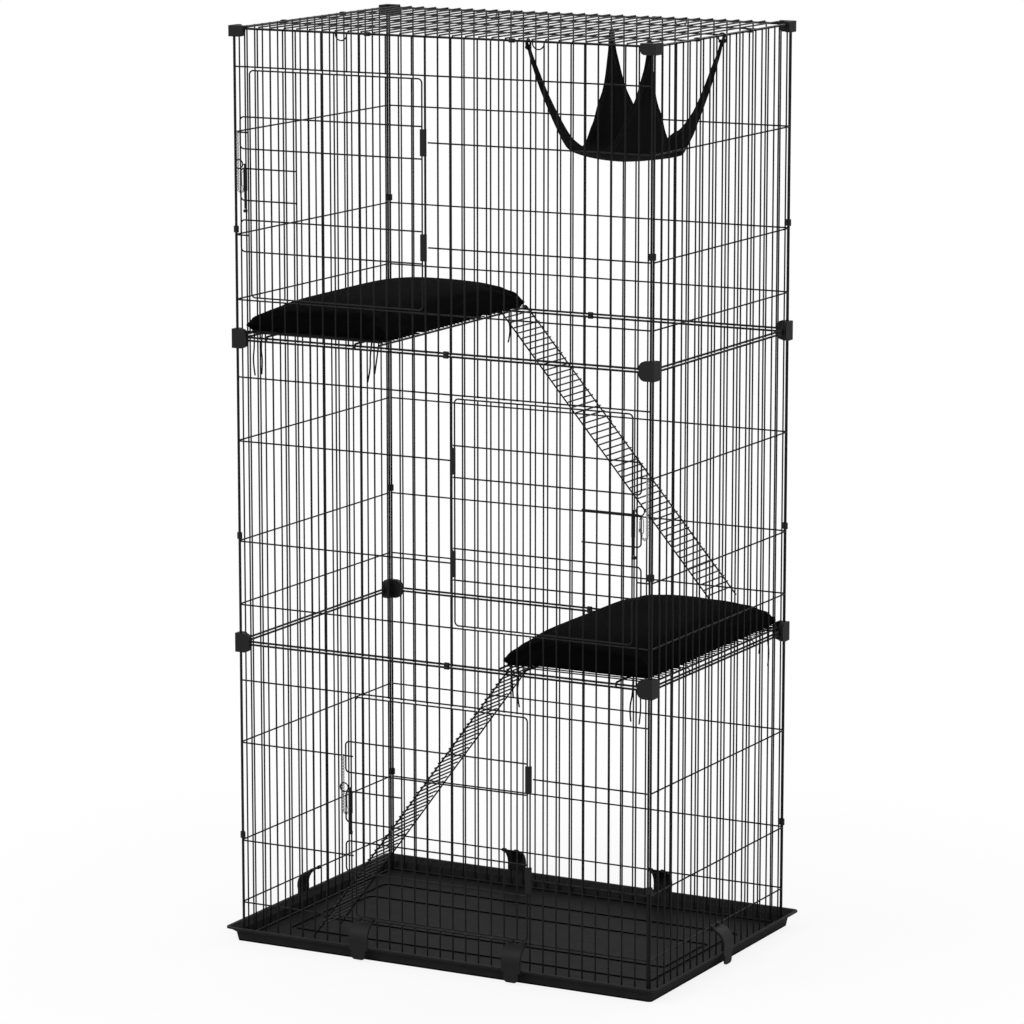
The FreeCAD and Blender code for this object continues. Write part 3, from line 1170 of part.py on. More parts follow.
def tray_hook():
    """Curved plate that hangs from the lowest cross wire and turns in under the tray's rim.

    A tongue with rounded corners goes on down from the plate, to pull the hook open with a finger.
    """
    axis_out, axis_z = value(CROSS), value(HOOK_Z)
    lip_out, lip_foot = value("tray_lip"), value("tray_height - tray_lip_thickness")
    thick, play = value("tray_hook_thickness"), value("tray_hook_play")
    standoff = value("tray_hook_standoff")
    inner = math.hypot(lip_out - axis_out, axis_z - lip_foot) + play
    outer = inner + thick
    left = value("-tray_hook_width / 2")

    def on_arc(radius, out):
        return left, -out, axis_z - math.sqrt(radius ** 2 - (out - axis_out) ** 2)

    def at(out, z):
        return left, -out, z
    arm = lip_out + 2 * play
    tip = lip_out - value("tray_hook_tab")
    elbow = value("tray_height") + 2 * thick
    top = axis_z - thick / 2
    swell = thick * TRAY_HOOK_SWELL
    mid_out_of_wall = standoff + (arm - standoff) * TRAY_HOOK_CURVE
    mid_in = at(mid_out_of_wall, elbow + (top - thick - elbow) * TRAY_HOOK_CURVE)
    mid_out = at(mid_out_of_wall + swell, elbow + (top - elbow) * TRAY_HOOK_CURVE + swell)
    profile = outline("tray_hook_profile", [
        on_arc(inner, tip), (on_arc(inner, (tip + arm) / 2), on_arc(inner, arm)), at(arm, elbow),
        (mid_in, at(standoff, top - thick)), at(standoff, top), at(standoff + thick / 2, top),
        (mid_out, at(arm + thick, elbow)), on_arc(outer, arm + thick),
        (on_arc(outer, (tip + arm + thick) / 2), on_arc(outer, tip)),
    ])
    plate = extrusion("tray_hook_plate", profile, (1, 0, 0), "tray_hook_width")
    half, foot = value("tray_hook_tongue / 2"), value("tray_hook_foot")
    bend_radius = value("tray_hook_corner")
    inset = bend_radius * (1 - math.sqrt(0.5))
    tongue = extrusion("tray_hook_tongue", outline("tray_hook_tongue_outline", [
        (-half, -arm, lip_foot), (half, -arm, lip_foot), (half, -arm, foot + bend_radius),
        ((half - inset, -arm, foot + inset), (half - bend_radius, -arm, foot)),
        (bend_radius - half, -arm, foot),
        ((inset - half, -arm, foot + inset), (-half, -arm, foot + bend_radius)),
    ]), (0, -1, 0), "tray_hook_thickness")
    pieces, bores = [plate, tongue], []
    for label, sign in (("left", -1), ("right", 1)):
        start = f"({sign} * {FRONT_PITCH} / 2 - prong_width / 2)"
        axis = (start, f"-{CROSS}", HOOK_Z)
        pieces.append(rod(f"prong_{label}", "X", "prong_diameter", axis, "prong_width"))
        pieces.append(box(f"prong_arm_{label}",
                          (start, "-tray_hook_standoff - tray_hook_thickness / 2",
                           f"{HOOK_Z} - prong_diameter / 2"),
                          ("prong_width", f"tray_hook_standoff + tray_hook_thickness / 2 - {CROSS}",
                           "tray_hook_thickness")))
        bores.append(rod(f"prong_bore_{label}", "X", "wire_diameter + 2 * running_clearance", axis,
                         "prong_width"))
    return cut("tray_hook", fuse("tray_hook_blank", pieces), bores)


hook = tray_hook()
hook_wire = FRONT_GAPS // 3
side_hook_wire = SIDE_GAPS // 2
TRAY_HOOKS = [
    ("tray_hook_front_left", (front_wire(hook_wire), f"-{HALF_D}", "0"), 0),
    ("tray_hook_front_right", (front_wire(FRONT_GAPS - hook_wire), f"-{HALF_D}", "0"), 0),
    ("tray_hook_back_left", (front_wire(hook_wire), HALF_D, "0"), 180),
    ("tray_hook_back_right", (front_wire(FRONT_GAPS - hook_wire), HALF_D, "0"), 180),
    ("tray_hook_left", (f"-{HALF_W}", side_wire(side_hook_wire), "0"), -90),
    ("tray_hook_right", (HALF_W, side_wire(side_hook_wire), "0"), 90),
]
for label, spot, turn in TRAY_HOOKS:
    node = sub_part(label, [hook])
    node.Placement = FreeCAD.Placement(Vector(), FreeCAD.Rotation(Vector(0, 0, 1), turn))
    place(node, spot)


# Checks and export

doc.recompute()
for thing in doc.Objects:
    faults = {"Invalid", "Error"} & set(thing.State)
    if faults:
        raise RuntimeError(f"{thing.Name}: {sorted(faults)}")
for node in sub_parts:
    if node.Shape.isNull() or not node.Shape.isValid():
        raise RuntimeError(f"{node.Label}: shape is empty or not valid")

os.makedirs("parts", exist_ok=True)
for node in sub_parts:
    node.Shape.exportStep(f"parts/{node.Label}.step")
whole = Part.makeCompound([node.Shape for node in sub_parts]).BoundBox
print(len(sub_parts), "sub-parts")
print("size", round(whole.XLength, 2), round(whole.YLength, 2), round(whole.ZLength, 2))
print("corner", round(whole.XMin, 2), round(whole.YMin, 2), round(whole.ZMin, 2))
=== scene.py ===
# %% [markdown]
# # Dressing a three-tier wire cat cage
# The cage is mostly wire: three tiers of panels, a roof, three doors, two shelves and two ramps over a
# plastic tray. All of that is exact CAD work, so it is loaded here and kept as it is. What CAD can't
# show is added in this lesson: the finish of every surface, the padded cushions, their hanging ties and
# the cloth hammock. Everything is built in metres, in the CAD model's own frame, and a size that is written
# in millimetres is multiplied by MM.

# %% Load the CAD frame
import math
from collections import namedtuple

import bmesh
import bpy
from mathutils import Matrix, Vector
from mathutils.kdtree import KDTree


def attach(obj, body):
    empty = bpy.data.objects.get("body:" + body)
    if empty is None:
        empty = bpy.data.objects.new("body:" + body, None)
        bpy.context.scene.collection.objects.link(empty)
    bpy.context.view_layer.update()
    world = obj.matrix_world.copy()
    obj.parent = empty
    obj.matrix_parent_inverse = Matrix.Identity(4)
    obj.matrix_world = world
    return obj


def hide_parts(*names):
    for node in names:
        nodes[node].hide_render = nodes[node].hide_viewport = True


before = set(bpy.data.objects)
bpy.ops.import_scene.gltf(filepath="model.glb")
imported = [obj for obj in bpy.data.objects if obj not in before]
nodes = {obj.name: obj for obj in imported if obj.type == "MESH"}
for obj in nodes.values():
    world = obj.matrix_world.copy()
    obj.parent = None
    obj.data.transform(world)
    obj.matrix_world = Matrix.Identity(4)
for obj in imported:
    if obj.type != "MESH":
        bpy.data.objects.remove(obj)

MM = 0.001
scene = bpy.context.scene
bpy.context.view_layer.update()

# %% [markdown]
# ## Camera
# A product picture is taken from far away with a long lens, so that the tall cage keeps nearly parallel
# sides. The lens and the place below were found by matching the corners of the wire panels, whose wires
# are evenly spaced and can be counted. Turning the camera, not shifting its lens, keeps other views true.

# %% Camera
CAMERA_PLACE = Vector((4.112, -7.700, 2.464))
CAMERA_TILT = math.radians(79.43)
CAMERA_TURN = math.radians(28.128)
FOCAL_LENGTH_MM = 162.6
SENSOR_WIDTH_MM = 36
FARTHEST = 100


def add_object(name, data):
    piece = bpy.data.objects.new(name, data)
    scene.collection.objects.link(piece)
    return piece


lens = bpy.data.cameras.new("photo_camera")
lens.lens = FOCAL_LENGTH_MM
lens.sensor_width = SENSOR_WIDTH_MM
lens.clip_end = FARTHEST
camera = add_object("photo_camera", lens)
camera.location = CAMERA_PLACE
camera.rotation_euler = (CAMERA_TILT, 0, CAMERA_TURN)
scene.camera = camera
print("camera distance", round(CAMERA_PLACE.length, 3))

# %% [markdown]
# ## Tie strings
# Each cushion is tied to its shelf with two strings at every corner. They are short limp cords that hang
# between the shelf wires, so each one is a curve: a NURBS spline whose control points are the route of
# the CAD string. A string could also be a mesh tube, but a curve keeps its line smooth and its length
# easy to measure. Each point carries the string's thickness as its own radius, because Blender counts that
# radius in the curve's bounding box. The lower shelf's strings mirror the upper shelf's.

# %% Tie strings
TIE_DIAMETER = 3 * MM
TIE_Y = 273.1
TIE_X = {"wall_outer": -412, "wall_inner": -394, "open_outer": -140, "open_inner": -155}
TIE_ROUTES = {
    "front_wall_outer": [(0, 0, 0), (1.5, -3, -30), (-1, -5, -57), (3, -4, -84)],
    "front_wall_inner": [(0, 0, 0), (-2, -4, -28), (4, -7, -54), (1, -6, -80)],
    "front_open_outer": [(0, 0, 0), (-3, -2, -30), (-7, -5, -62)],
    "front_open_inner": [(0, 0, 0), (-3, -3, -27), (0, -6, -52), (-6, -7, -78)],
    "back_wall_outer": [(0, 0, 0), (2, 3, -29), (-2, 5, -56), (1, 4, -82)],
    "back_wall_inner": [(0, 0, 0), (-1, 4, -31), (3, 6, -60)],
    "back_open_outer": [(0, 0, 0), (-2, 3, -30), (-1, 6, -64)],
    "back_open_inner": [(0, 0, 0), (-4, 2, -28), (-1, 5, -55), (-7, 6, -76)],
}
TIE_STEPS = 10
TIE_ROUNDNESS = 3
SPLINE_ORDER = 3
SHELVES = {"upper": (1, 1192.35), "lower": (-1, 603.35)}


def smooth_line(name, points, steps, closed):
    """A curve with one NURBS spline along the points."""
    line = bpy.data.curves.new(name, "CURVE")
    line.dimensions = "3D"
    line.resolution_u = steps
    spline = line.splines.new("NURBS")
    spline.points.add(len(points) - 1)
    for spot, point in zip(spline.points, points):
        spot.co = (*point, 1)
    spline.order_u = SPLINE_ORDER
    spline.use_cyclic_u = closed
    spline.use_endpoint_u = not closed
    return line, spline


def tie_string(name, points):
    line, spline = smooth_line(name, points, TIE_STEPS, closed=False)
    line.bevel_depth = 1
    line.bevel_resolution = TIE_ROUNDNESS
    line.use_fill_caps = True
    for spot in spline.points:
        spot.radius = TIE_DIAMETER / 2
    return add_object(name, line), spline.calc_length()


ties = []
for shelf, (side, height) in SHELVES.items():
    for label, route in TIE_ROUTES.items():
        end, place = label.split("_", 1)
        start = Vector((TIE_X[place], -TIE_Y if end == "front" else TIE_Y, height))
        points = [start + Vector(step) for step in route]
        points = [(side * point.x * MM, point.y * MM, point.z * MM) for point in points]
        string, length = tie_string(f"{shelf}_tie_{label}", points)
        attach(string, "cage")
        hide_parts(f"{shelf}_cushion_ties")
        ties.append(string)
        print(string.name, "length", round(length, 4))

# %% [markdown]
# ## Shader maths
# A procedural finish is arithmetic on textures. Blender does that arithmetic with Math nodes, and adding
# each by hand makes long code, so one small class wraps a socket: adding or multiplying two of them adds
# the node. Every other kind of node comes from its one `node` method, and short functions name the four
# that nearly every finish here needs.

# %% Shader maths
class Shade:
    """A socket in a node tree, with arithmetic."""

    def __init__(self, tree, socket=None):
        self.tree = tree
        self.socket = socket

    def node(self, kind, settings=(), sockets=(), output=0):
        """Add a node: its settings first, then the values or links of its sockets."""
        made = self.tree.nodes.new("ShaderNode" + kind)
        for name, value in dict(settings).items():
            if name == "stops":
                for stop, (place, level) in zip(made.color_ramp.elements, value):
                    stop.position = place
                    stop.color = (level, level, level, 1)
            else:
                setattr(made, name, value)
        for name, value in dict(sockets).items():
            if isinstance(value, Shade):
                self.tree.links.new(value.socket, made.inputs[name])
            else:
                made.inputs[name].default_value = value
        return None if output is None else Shade(self.tree, made.outputs[output])

    def maths(self, operation, *values):
        return self.node("Math", {"operation": operation}, dict(enumerate(values)))

    def __add__(self, other):
        return self.maths("ADD", self, other)

    def __sub__(self, other):
        return self.maths("SUBTRACT", self, other)

    def __mul__(self, other):
        return self.maths("MULTIPLY", self, other)

    def __rsub__(self, other):
        return self.maths("SUBTRACT", other, self)

    __radd__ = __add__
    __rmul__ = __mul__


def finish(name, draw):
    """A material whose surface is what draw makes of an empty node tree."""
    made = bpy.data.materials.new(name)
    made.use_nodes = True
    made.node_tree.nodes.clear()
    start = Shade(made.node_tree)
    start.node("OutputMaterial", (), {"Surface": draw(start)}, None)
    print("finish", name, "nodes", len(made.node_tree.nodes))
    return made


BLUE_CAST = 1.04
# Places of the colour sockets on a Mix node, whose names repeat for numbers, vectors and colours
MIX_FACTOR, MIX_FROM, MIX_TO, MIX_RESULT = 0, 6, 7, 2


def grey(level):
    """A dark grey that leans a little to blue, as black pigment does."""
    return (level, level, level * BLUE_CAST, 1)


def object_place(start):
    return start.node("TexCoord", output="Object")


def noise(place, scale, detail):
    return place.node("TexNoise", (), {"Vector": place, "Scale": scale, "Detail": detail})


def blend(factor, low, high):
    """A colour that goes from low to high as the factor goes from 0 to 1."""
    sockets = {MIX_FACTOR: factor, MIX_FROM: low, MIX_TO: high}
    return factor.node("Mix", {"data_type": "RGBA"}, sockets, MIX_RESULT)


def relief(height, strength, depth):
    return height.node("Bump", (), {"Height": height, "Strength": strength, "Distance": depth})


# %% [markdown]
# ## Powder-coated wire
# The panels, doors, shelves and ramps are steel wire, welded and then powder coated in satin black. The
# powder melts into a skin with faint orange peel and a gloss that changes a little from place to place.
# A picture of coated steel would need every wire unwrapped. A fine noise for the peel and a coarse one for
# the gloss need no map, because they read Object coordinates.

# %% Powder-coated wire
def powder_coat(start):
    place = object_place(start)
    peel = noise(place, scale=650.0, detail=2.0)
    patches = noise(place, scale=17.0, detail=4.0)
    return start.node("BsdfPrincipled", (), {
        "Base Color": blend(patches, grey(0.0025), grey(0.007)),
        "Roughness": 0.36 + patches * 0.2,
        "Normal": relief(peel, strength=0.3, depth=0.2 * MM),
        "Specular IOR Level": 0.11})


wire_black = finish("powder_coated_wire", powder_coat)

# %% [markdown]
# ## Moulded plastic
# The corner connectors, clips, door sleeves and tray hooks are injection moulded in black plastic with a
# spark-eroded matt texture. A noise would make it cloudy, not grained, so small cells of a Voronoi texture
# give the pebbles. The parts are a shade lighter than the wire, because their matt surface scatters more
# light.

# %% Moulded plastic
def moulded(place, dark, light, grain, depth):
    """Pebbled plastic: its cloudiness, its colour and its relief."""
    cells = place.node("TexVoronoi", {"feature": "F1"}, {"Vector": place, "Scale": grain})
    cloud = noise(place, scale=30.0, detail=5.0)
    colour = blend(cloud, grey(dark), grey(light))
    return cloud, colour, relief(cells, strength=0.35, depth=depth)


def connector_plastic(start):
    place = object_place(start)
    cloud, colour, bump = moulded(place, dark=0.006, light=0.012, grain=1500.0, depth=0.1 * MM)
    return start.node("BsdfPrincipled", (), {
        "Base Color": colour,
        "Roughness": 0.5 + cloud * 0.15,
        "Normal": bump,
        "Specular IOR Level": 0.13})


plastic_black = finish("moulded_plastic", connector_plastic)

# %% [markdown]
# ## Tray plastic
# The tray is one large moulding in the same kind of plastic. Claws and cleaning leave fine pale scuffs on
# a tray, so a noise that is stretched along the tray's length, kept only where it is strongest, lightens
# the colour and roughens the gloss there. The floor faces the lamps and would render lighter than the
# walls, so shade is painted into its colour. Painted shade is darkest in its grooves and at the foot of
# the outer wall. A mask could be painted for them, but the floor and its grooves are the lowest places
# of the tray, so height alone picks them out.

# %% Tray plastic
FLOOR_TOP = 3 * MM
HAIR = 0.1 * MM
SCUFF_STRETCH = (9.0, 160.0, 60.0)
SCUFF_STOPS = [(0.60, 0), (0.78, 1)]


def tray_plastic(start):
    place = object_place(start)
    cloud, colour, bump = moulded(place, dark=0.012, light=0.019, grain=1100.0, depth=0.12 * MM)
    stretched = start.node("Mapping", (), {"Vector": place, "Scale": SCUFF_STRETCH})
    streaks = noise(stretched, scale=1.0, detail=3.0)
    scuffs = start.node("ValToRGB", {"stops": SCUFF_STOPS}, {"Fac": streaks}) * cloud
    worn = blend(scuffs * 0.5, colour, grey(0.024))
    up = start.node("SeparateXYZ", (), {"Vector": place}, 2)
    # Painted shade: this mask and the blend below darken the floor, which faces the lamps, to the walls'
    # tone
    flat = start.node("MapRange", (), {
        "Value": up, "From Min": FLOOR_TOP + 7 * HAIR, "From Max": FLOOR_TOP + HAIR})
    # Painted shade in the floor's grooves and at the foot of the outer wall, below the floor's height
    groove_shade_mask = start.node("MapRange", (), {
        "Value": up, "From Min": FLOOR_TOP - HAIR, "From Max": FLOOR_TOP - 6 * HAIR})
    smooth = blend(flat * 0.75, worn, grey(0.002))
    return start.node("BsdfPrincipled", (), {
        "Base Color": blend(groove_shade_mask, smooth, grey(0.0006)),
        "Roughness": 0.52 + scuffs * 0.2 + cloud * 0.1,
        "Normal": bump,
        "Specular IOR Level": 0.04})


tray_black = finish("tray_plastic", tray_plastic)

# %% [markdown]
# ## Zinc-plated steel
# Each door has a short safety chain and a snap hook in bright zinc. It is a metal, so its colour is the
# colour of its reflections, and a cloudy roughness keeps it from looking like a mirror. The links are so
# small that one noise can serve the colour, the gloss and the relief.

# %% Zinc-plated steel
def zinc_plate(start):
    cloud = noise(object_place(start), scale=240.0, detail=4.0)
    return start.node("BsdfPrincipled", (), {
        "Base Color": blend(cloud, grey(0.34), grey(0.52)),
        "Metallic": 1.0,
        "Roughness": 0.22 + cloud * 0.2,
        "Normal": relief(cloud, strength=0.15, depth=0.1 * MM)})


zinc = finish("zinc_plate", zinc_plate)

# %% [markdown]
# ## Woven black cotton
# The cushion covers and the hammock are plain-woven cloth: threads pass over and under each other. The
# product of two sine waves gives that over and under. The cloth has no unwrapped map after remeshing, so
# the weave is drawn in all three planes and each is weighted by how squarely the surface faces it.

# %% Woven black cotton
def plain_weave(start, place, pitch):
    """Height of the threads, from -1 to 1, in the plane that the surface faces."""
    facing = start.node("NewGeometry", output="Normal")
    waves, weights = [], []
    for axis in range(3):
        along = start.node("SeparateXYZ", (), {"Vector": place}, axis)
        waves.append(start.maths("SINE", along * (math.tau / pitch)))
        tilt = start.node("SeparateXYZ", (), {"Vector": facing}, axis)
        weights.append(tilt * tilt)
    height = waves[1] * waves[2] * weights[0]
    height = height + waves[0] * waves[2] * weights[1]
    return height + waves[0] * waves[1] * weights[2]


def cotton(start, dark, light, pitch):
    """Woven cloth: the height of its threads, its uneven yarn and its colour."""
    place = object_place(start)
    weave = plain_weave(start, place, pitch)
    slubs = noise(place, scale=55.0, detail=6.0)
    shade = 0.35 + weave * 0.25 + slubs * 0.4
    return weave + slubs * 0.6, slubs, blend(shade, grey(dark), grey(light))


def cushion_cloth(start):
    height, slubs, colour = cotton(start, dark=0.0008, light=0.0028, pitch=1.1 * MM)
    return start.node("BsdfPrincipled", (), {
        "Base Color": colour,
        "Roughness": 0.82 + slubs * 0.14,
        "Normal": relief(height, strength=0.4, depth=0.2 * MM),
        "Specular IOR Level": 0.012})


cushion_black = finish("cushion_cotton", cushion_cloth)

# %% [markdown]
# ## Tie cord
# The strings are narrow woven tape rolled into a cord. Ribs could follow each curve's own length, but the
# strings hang nearly straight, so diagonal ribs on Object coordinates read as the turns of the weave.

# %% Tie cord
RIB_PITCH = 1.1 * MM


def tape(start):
    place = object_place(start)
    across, deep, up = [start.node("SeparateXYZ", (), {"Vector": place}, axis) for axis in range(3)]
    ribs = start.maths("SINE", (up + across + deep) * (math.tau / RIB_PITCH))
    fuzz = noise(place, scale=900.0, detail=3.0)
    shade = 0.5 + ribs * 0.25 + fuzz * 0.25
    return start.node("BsdfPrincipled", (), {
        "Base Color": blend(shade, grey(0.002), grey(0.008)),
        "Roughness": 0.8 + fuzz * 0.15,
        "Normal": relief(ribs + fuzz * 0.5, strength=0.5, depth=0.2 * MM),
        "Specular IOR Level": 0.05})


tie_black = finish("tie_tape", tape)
for string in ties:
    string.data.materials.append(tie_black)

# %% [markdown]
# ## Finishes on the CAD nodes
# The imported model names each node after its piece, so a finish is chosen by the start of the name, which
# is shorter than a list of all the nodes. A node that matches none of these words is wire.

# %% Finishes on the CAD nodes
FINISHES = [
    (("tier_connectors", "top_connectors", "corner_clips", "rail_clips", "roof_clips", "tray_hook",
      "door_hinges"), plastic_black),
    (("tray",), tray_black),
    (("safety_chain", "snap_hook", "snap_gate"), zinc),
]
for name, node in nodes.items():
    chosen = wire_black
    for words, material in FINISHES:
        if name.startswith(words):
            chosen = material
            break
    node.data.materials.clear()
    node.data.materials.append(chosen)
    for face in node.data.polygons:
        face.material_index = 0
print("nodes with a finish", sum(len(node.data.materials) for node in nodes.values()))

# %% [markdown]
# ## Cushions
# Each shelf carries a stuffed pad sewn from two panels: a crowned top, a flat underside where it rests,
# a seam all round that is drawn in between the corners, thin corners and soft folds on the ends. Formulas
# alone would leave it as regular as a moulding, and a simulation alone would swell it like a balloon, so
# it gets some of each. The pad starts as a subdivided block that is shaped a little small. A voxel remesh
# gives it an even skin, and a short cloth simulation blows it up from inside, as stuffing does. It is done
# once, and both cushions use the result. In the pad's own plan, the wall is on the side of negative X.

# %% Cushion seam
CUSHION_HALF = Vector((160 * MM, 290 * MM))
CORNER_LIFT = 4 * MM
CORNER_SINK = 1 * MM
SIDE_SEAM = 1.8 * MM
END_SEAM = 7 * MM


def wave(place, size, turn_rate, start):
    """A ripple of this size that turns by turn_rate radians in a metre."""
    return size * math.sin(place * turn_rate + start)


def plan_shares(x, y):
    """How far a place is from the middle of the plan to its sides and to its ends, from 0 to 1."""
    return min(abs(x) / CUSHION_HALF.x, 1), min(abs(y) / CUSHION_HALF.y, 1)


def corner_share(x, y):
    """How near a place is to a corner of the plan: 1 at the corner, under a tenth 60 mm along a side."""
    across, along = plan_shares(x, y)
    return across ** 6 * along ** 10


def seam_height(x, y):
    """The seam lies low along the sides, waves along the ends and rests on the connectors at the wall."""
    across, along = plan_shares(x, y)
    slack = wave(x, 2.2 * MM, turn_rate=41, start=0.6) + wave(x, 1.4 * MM, turn_rate=97, start=1.1)
    lift = along ** 8 * (1 - across ** 4)
    low = SIDE_SEAM + (CORNER_LIFT if x < 0 else -CORNER_SINK) * corner_share(x, y)
    return low + (END_SEAM - SIDE_SEAM + slack) * lift + wave(y, 0.8 * MM, turn_rate=23, start=1.1)


middles = [(CUSHION_HALF.x, 0), (0, CUSHION_HALF.y)]
print("seam height at side and end", [round(seam_height(x, y) / MM, 1) for x, y in middles], "mm")

# %% Cushion block
CUSHION_CORNER = 22 * MM
CUSHION_TALL = 50 * MM
EDGE_THICKNESS = 0.27
CORNER_THINNING = 0.8
WAIST = 4 * MM
BLOCK_CUTS = 31


def rounded_corner(x, y):
    """Bend the corner of the plan from a square to a quarter of a circle."""
    inner = CUSHION_HALF - Vector((CUSHION_CORNER, CUSHION_CORNER))
    a = (abs(x) - inner.x) / CUSHION_CORNER
    b = (abs(y) - inner.y) / CUSHION_CORNER
    if a <= 0 or b <= 0:
        return x, y
    bent_x = inner.x + CUSHION_CORNER * a * math.sqrt(1 - b * b / 2)
    bent_y = inner.y + CUSHION_CORNER * b * math.sqrt(1 - a * a / 2)
    return math.copysign(bent_x, x), math.copysign(bent_y, y)


def pad_shape(point):
    """Where a point of the plain block goes: crowned above, flat below, drawn in at the waist."""
    across, along = plan_shares(point.x, point.y)
    level = point.z / CUSHION_TALL
    crown = math.sqrt((1 - across ** 3) * (1 - along ** 4))
    rest = math.sqrt((1 - across ** 24) * (1 - along ** 40))
    seam = seam_height(point.x, point.y)
    edge = EDGE_THICKNESS * (1 - CORNER_THINNING * corner_share(point.x, point.y))
    top = seam + (CUSHION_TALL - seam) * (edge + (1 - edge) * crown)
    low = seam * (1 - rest)
    x, y = rounded_corner(point.x, point.y)
    x -= math.copysign(across, point.x) * WAIST * (1 - along ** 2)
    y -= math.copysign(along, point.y) * WAIST * (1 - across ** 2)
    return Vector((x, y, low + (top - low) * level))


def mesh_of(bm, name):
    """Turn a finished bmesh into a mesh."""
    mesh = bpy.data.meshes.new(name)
    bm.to_mesh(mesh)
    bm.free()
    return mesh


def cushion_block():
    bm = bmesh.new()
    bmesh.ops.create_cube(bm, size=1)
    bmesh.ops.translate(bm, vec=(0, 0, 0.5), verts=bm.verts)
    bmesh.ops.scale(bm, vec=(2 * CUSHION_HALF.x, 2 * CUSHION_HALF.y, CUSHION_TALL), verts=bm.verts)
    bmesh.ops.subdivide_edges(bm, edges=bm.edges, cuts=BLOCK_CUTS, use_grid_fill=True)
    for vert in bm.verts:
        vert.co = pad_shape(vert.co)
    return mesh_of(bm, "cushion_block")


block = cushion_block()
print("cushion block vertices", len(block.vertices))

# %% Cushion stuffing
VOXEL = 5.5 * MM
PRESSURE = 4
MOST_PUFF = 7 * MM
PUFF_FRAMES = 20
RESTING_BELOW = 2 * MM


def evaluated_mesh(piece):
    graph = bpy.context.evaluated_depsgraph_get()
    return bpy.data.meshes.new_from_object(piece.evaluated_get(graph))


def remeshed(mesh):
    piece = add_object("pad", mesh)
    skin = piece.modifiers.new("skin", "REMESH")
    skin.mode = "VOXEL"
    skin.voxel_size = VOXEL
    even = evaluated_mesh(piece)
    bpy.data.objects.remove(piece)
    return even


def stuffed(mesh):
    """Blow the pad up with cloth pressure; the underside stays on the shelf and the corners stay thin."""
    piece = add_object("pad", mesh)
    resting = piece.vertex_groups.new(name="resting")
    low = [vert.index for vert in mesh.vertices if vert.co.z < RESTING_BELOW]
    resting.add(low, 1, "REPLACE")
    cloth = piece.modifiers.new("stuffing", "CLOTH")
    cloth.settings.use_pressure = True
    cloth.settings.uniform_pressure_force = PRESSURE
    cloth.settings.vertex_group_mass = "resting"
    cloth.settings.effector_weights.gravity = 0
    cloth.point_cache.frame_start = 1
    cloth.point_cache.frame_end = PUFF_FRAMES
    for step in range(1, PUFF_FRAMES + 1):
        scene.frame_set(step)
    puffed = evaluated_mesh(piece)
    moved = 0
    for vert, blown in zip(mesh.vertices, puffed.vertices):
        shift = blown.co - vert.co
        most = MOST_PUFF * (1 - CORNER_THINNING * corner_share(vert.co.x, vert.co.y))
        if shift.length > most:
            shift *= most / shift.length
        moved = max(moved, shift.length)
        vert.co = vert.co + shift
    bpy.data.objects.remove(piece)
    scene.frame_set(1)
    print("stuffing moved the skin by up to", round(moved / MM, 1), "mm")
    return mesh


pad = remeshed(block)
pad = stuffed(pad)
print("pad vertices", len(pad.vertices))

# %% [markdown]
# ## Seams and folds of the cushions
# Remeshing rounds off anything finer than its voxels, so the sewn details come now. The seam is a groove
# all round, the thread gathers the cloth beside it into small puckers, and the loose cover falls into a
# few long folds at the front and back ends. Each is a small move of the skin along its own normal. The
# open side droops a little over the shelf's edge rod. A subdivision then smooths the whole.

# %% Cushion seams and folds
GROOVE_DEPTH = 1.7 * MM
GROOVE_WIDTH = 3.5 * MM
GROOVE_REACH = 20 * MM
PUCKER_DEPTH = 1.1 * MM
PUCKER_PITCH = 23 * MM
PUCKER_REACH = 11 * MM
PUCKER_SPREAD = 0.35
FOLD_START = 4 * MM
END_FOLD = {"depth": 1.8 * MM, "pitch": 17 * MM, "reach": 30 * MM}
SIDE_FOLD = {"depth": 1.2 * MM, "pitch": 21 * MM, "reach": 28 * MM}
BROAD_WAVE = 1.2 * MM
FOLD_TURN = 2.0


def bell(distance, reach):
    """1 at no distance, and fading smoothly to nothing past the reach."""
    return math.exp(-(distance / reach) ** 2)


def seam_detail(point, turn):
    """How far a point of the skin moves outwards for the seam, puckers and folds."""
    edge_x = CUSHION_HALF.x - abs(point.x)
    edge_y = CUSHION_HALF.y - abs(point.y)
    rise = point.z - seam_height(point.x, point.y)
    inset = max(min(edge_x, edge_y), 0)
    groove = -GROOVE_DEPTH * bell(rise, GROOVE_WIDTH) * bell(inset, GROOVE_REACH)
    near = math.hypot(rise, PUCKER_SPREAD * inset)
    run = point.y if edge_x < edge_y else point.x
    pucker = wave(run, PUCKER_DEPTH, math.tau / PUCKER_PITCH, turn) * bell(near, PUCKER_REACH)
    sway = wave(point.x, 0.9, turn_rate=29, start=turn) + wave(point.x, 0.5, turn_rate=67, start=2 * turn)
    ends = bell(max(edge_y - FOLD_START, 0), END_FOLD["reach"])
    fold = wave(rise, END_FOLD["depth"], math.tau / END_FOLD["pitch"], sway) * ends
    sides = bell(max(edge_x - FOLD_START, 0), SIDE_FOLD["reach"]) * (1 - ends)
    drift = wave(point.y, 1.1, turn_rate=17, start=turn)
    fold += wave(rise, SIDE_FOLD["depth"], math.tau / SIDE_FOLD["pitch"], drift) * sides
    broad = wave(point.x, BROAD_WAVE, turn_rate=21, start=turn) * wave(point.y, 1, turn_rate=13, start=-turn)
    return groove + pucker + fold + broad


end_seam = Vector((0, CUSHION_HALF.y, seam_height(0, CUSHION_HALF.y)))
print("skin moves by", round(seam_detail(end_seam, FOLD_TURN) / MM, 1), "mm at the seam of an end")

# %% Droop over the edge rod
EDGE_ROD = 150.5 * MM
DROOP = 7 * MM
DROOP_RUN = 4 * MM
DROOP_BELOW = 30 * MM
DROOP_EASE = 20 * MM
RAMP_SPANS = {"upper": (168 * MM, 290 * MM), "lower": (-238 * MM, -116 * MM)}


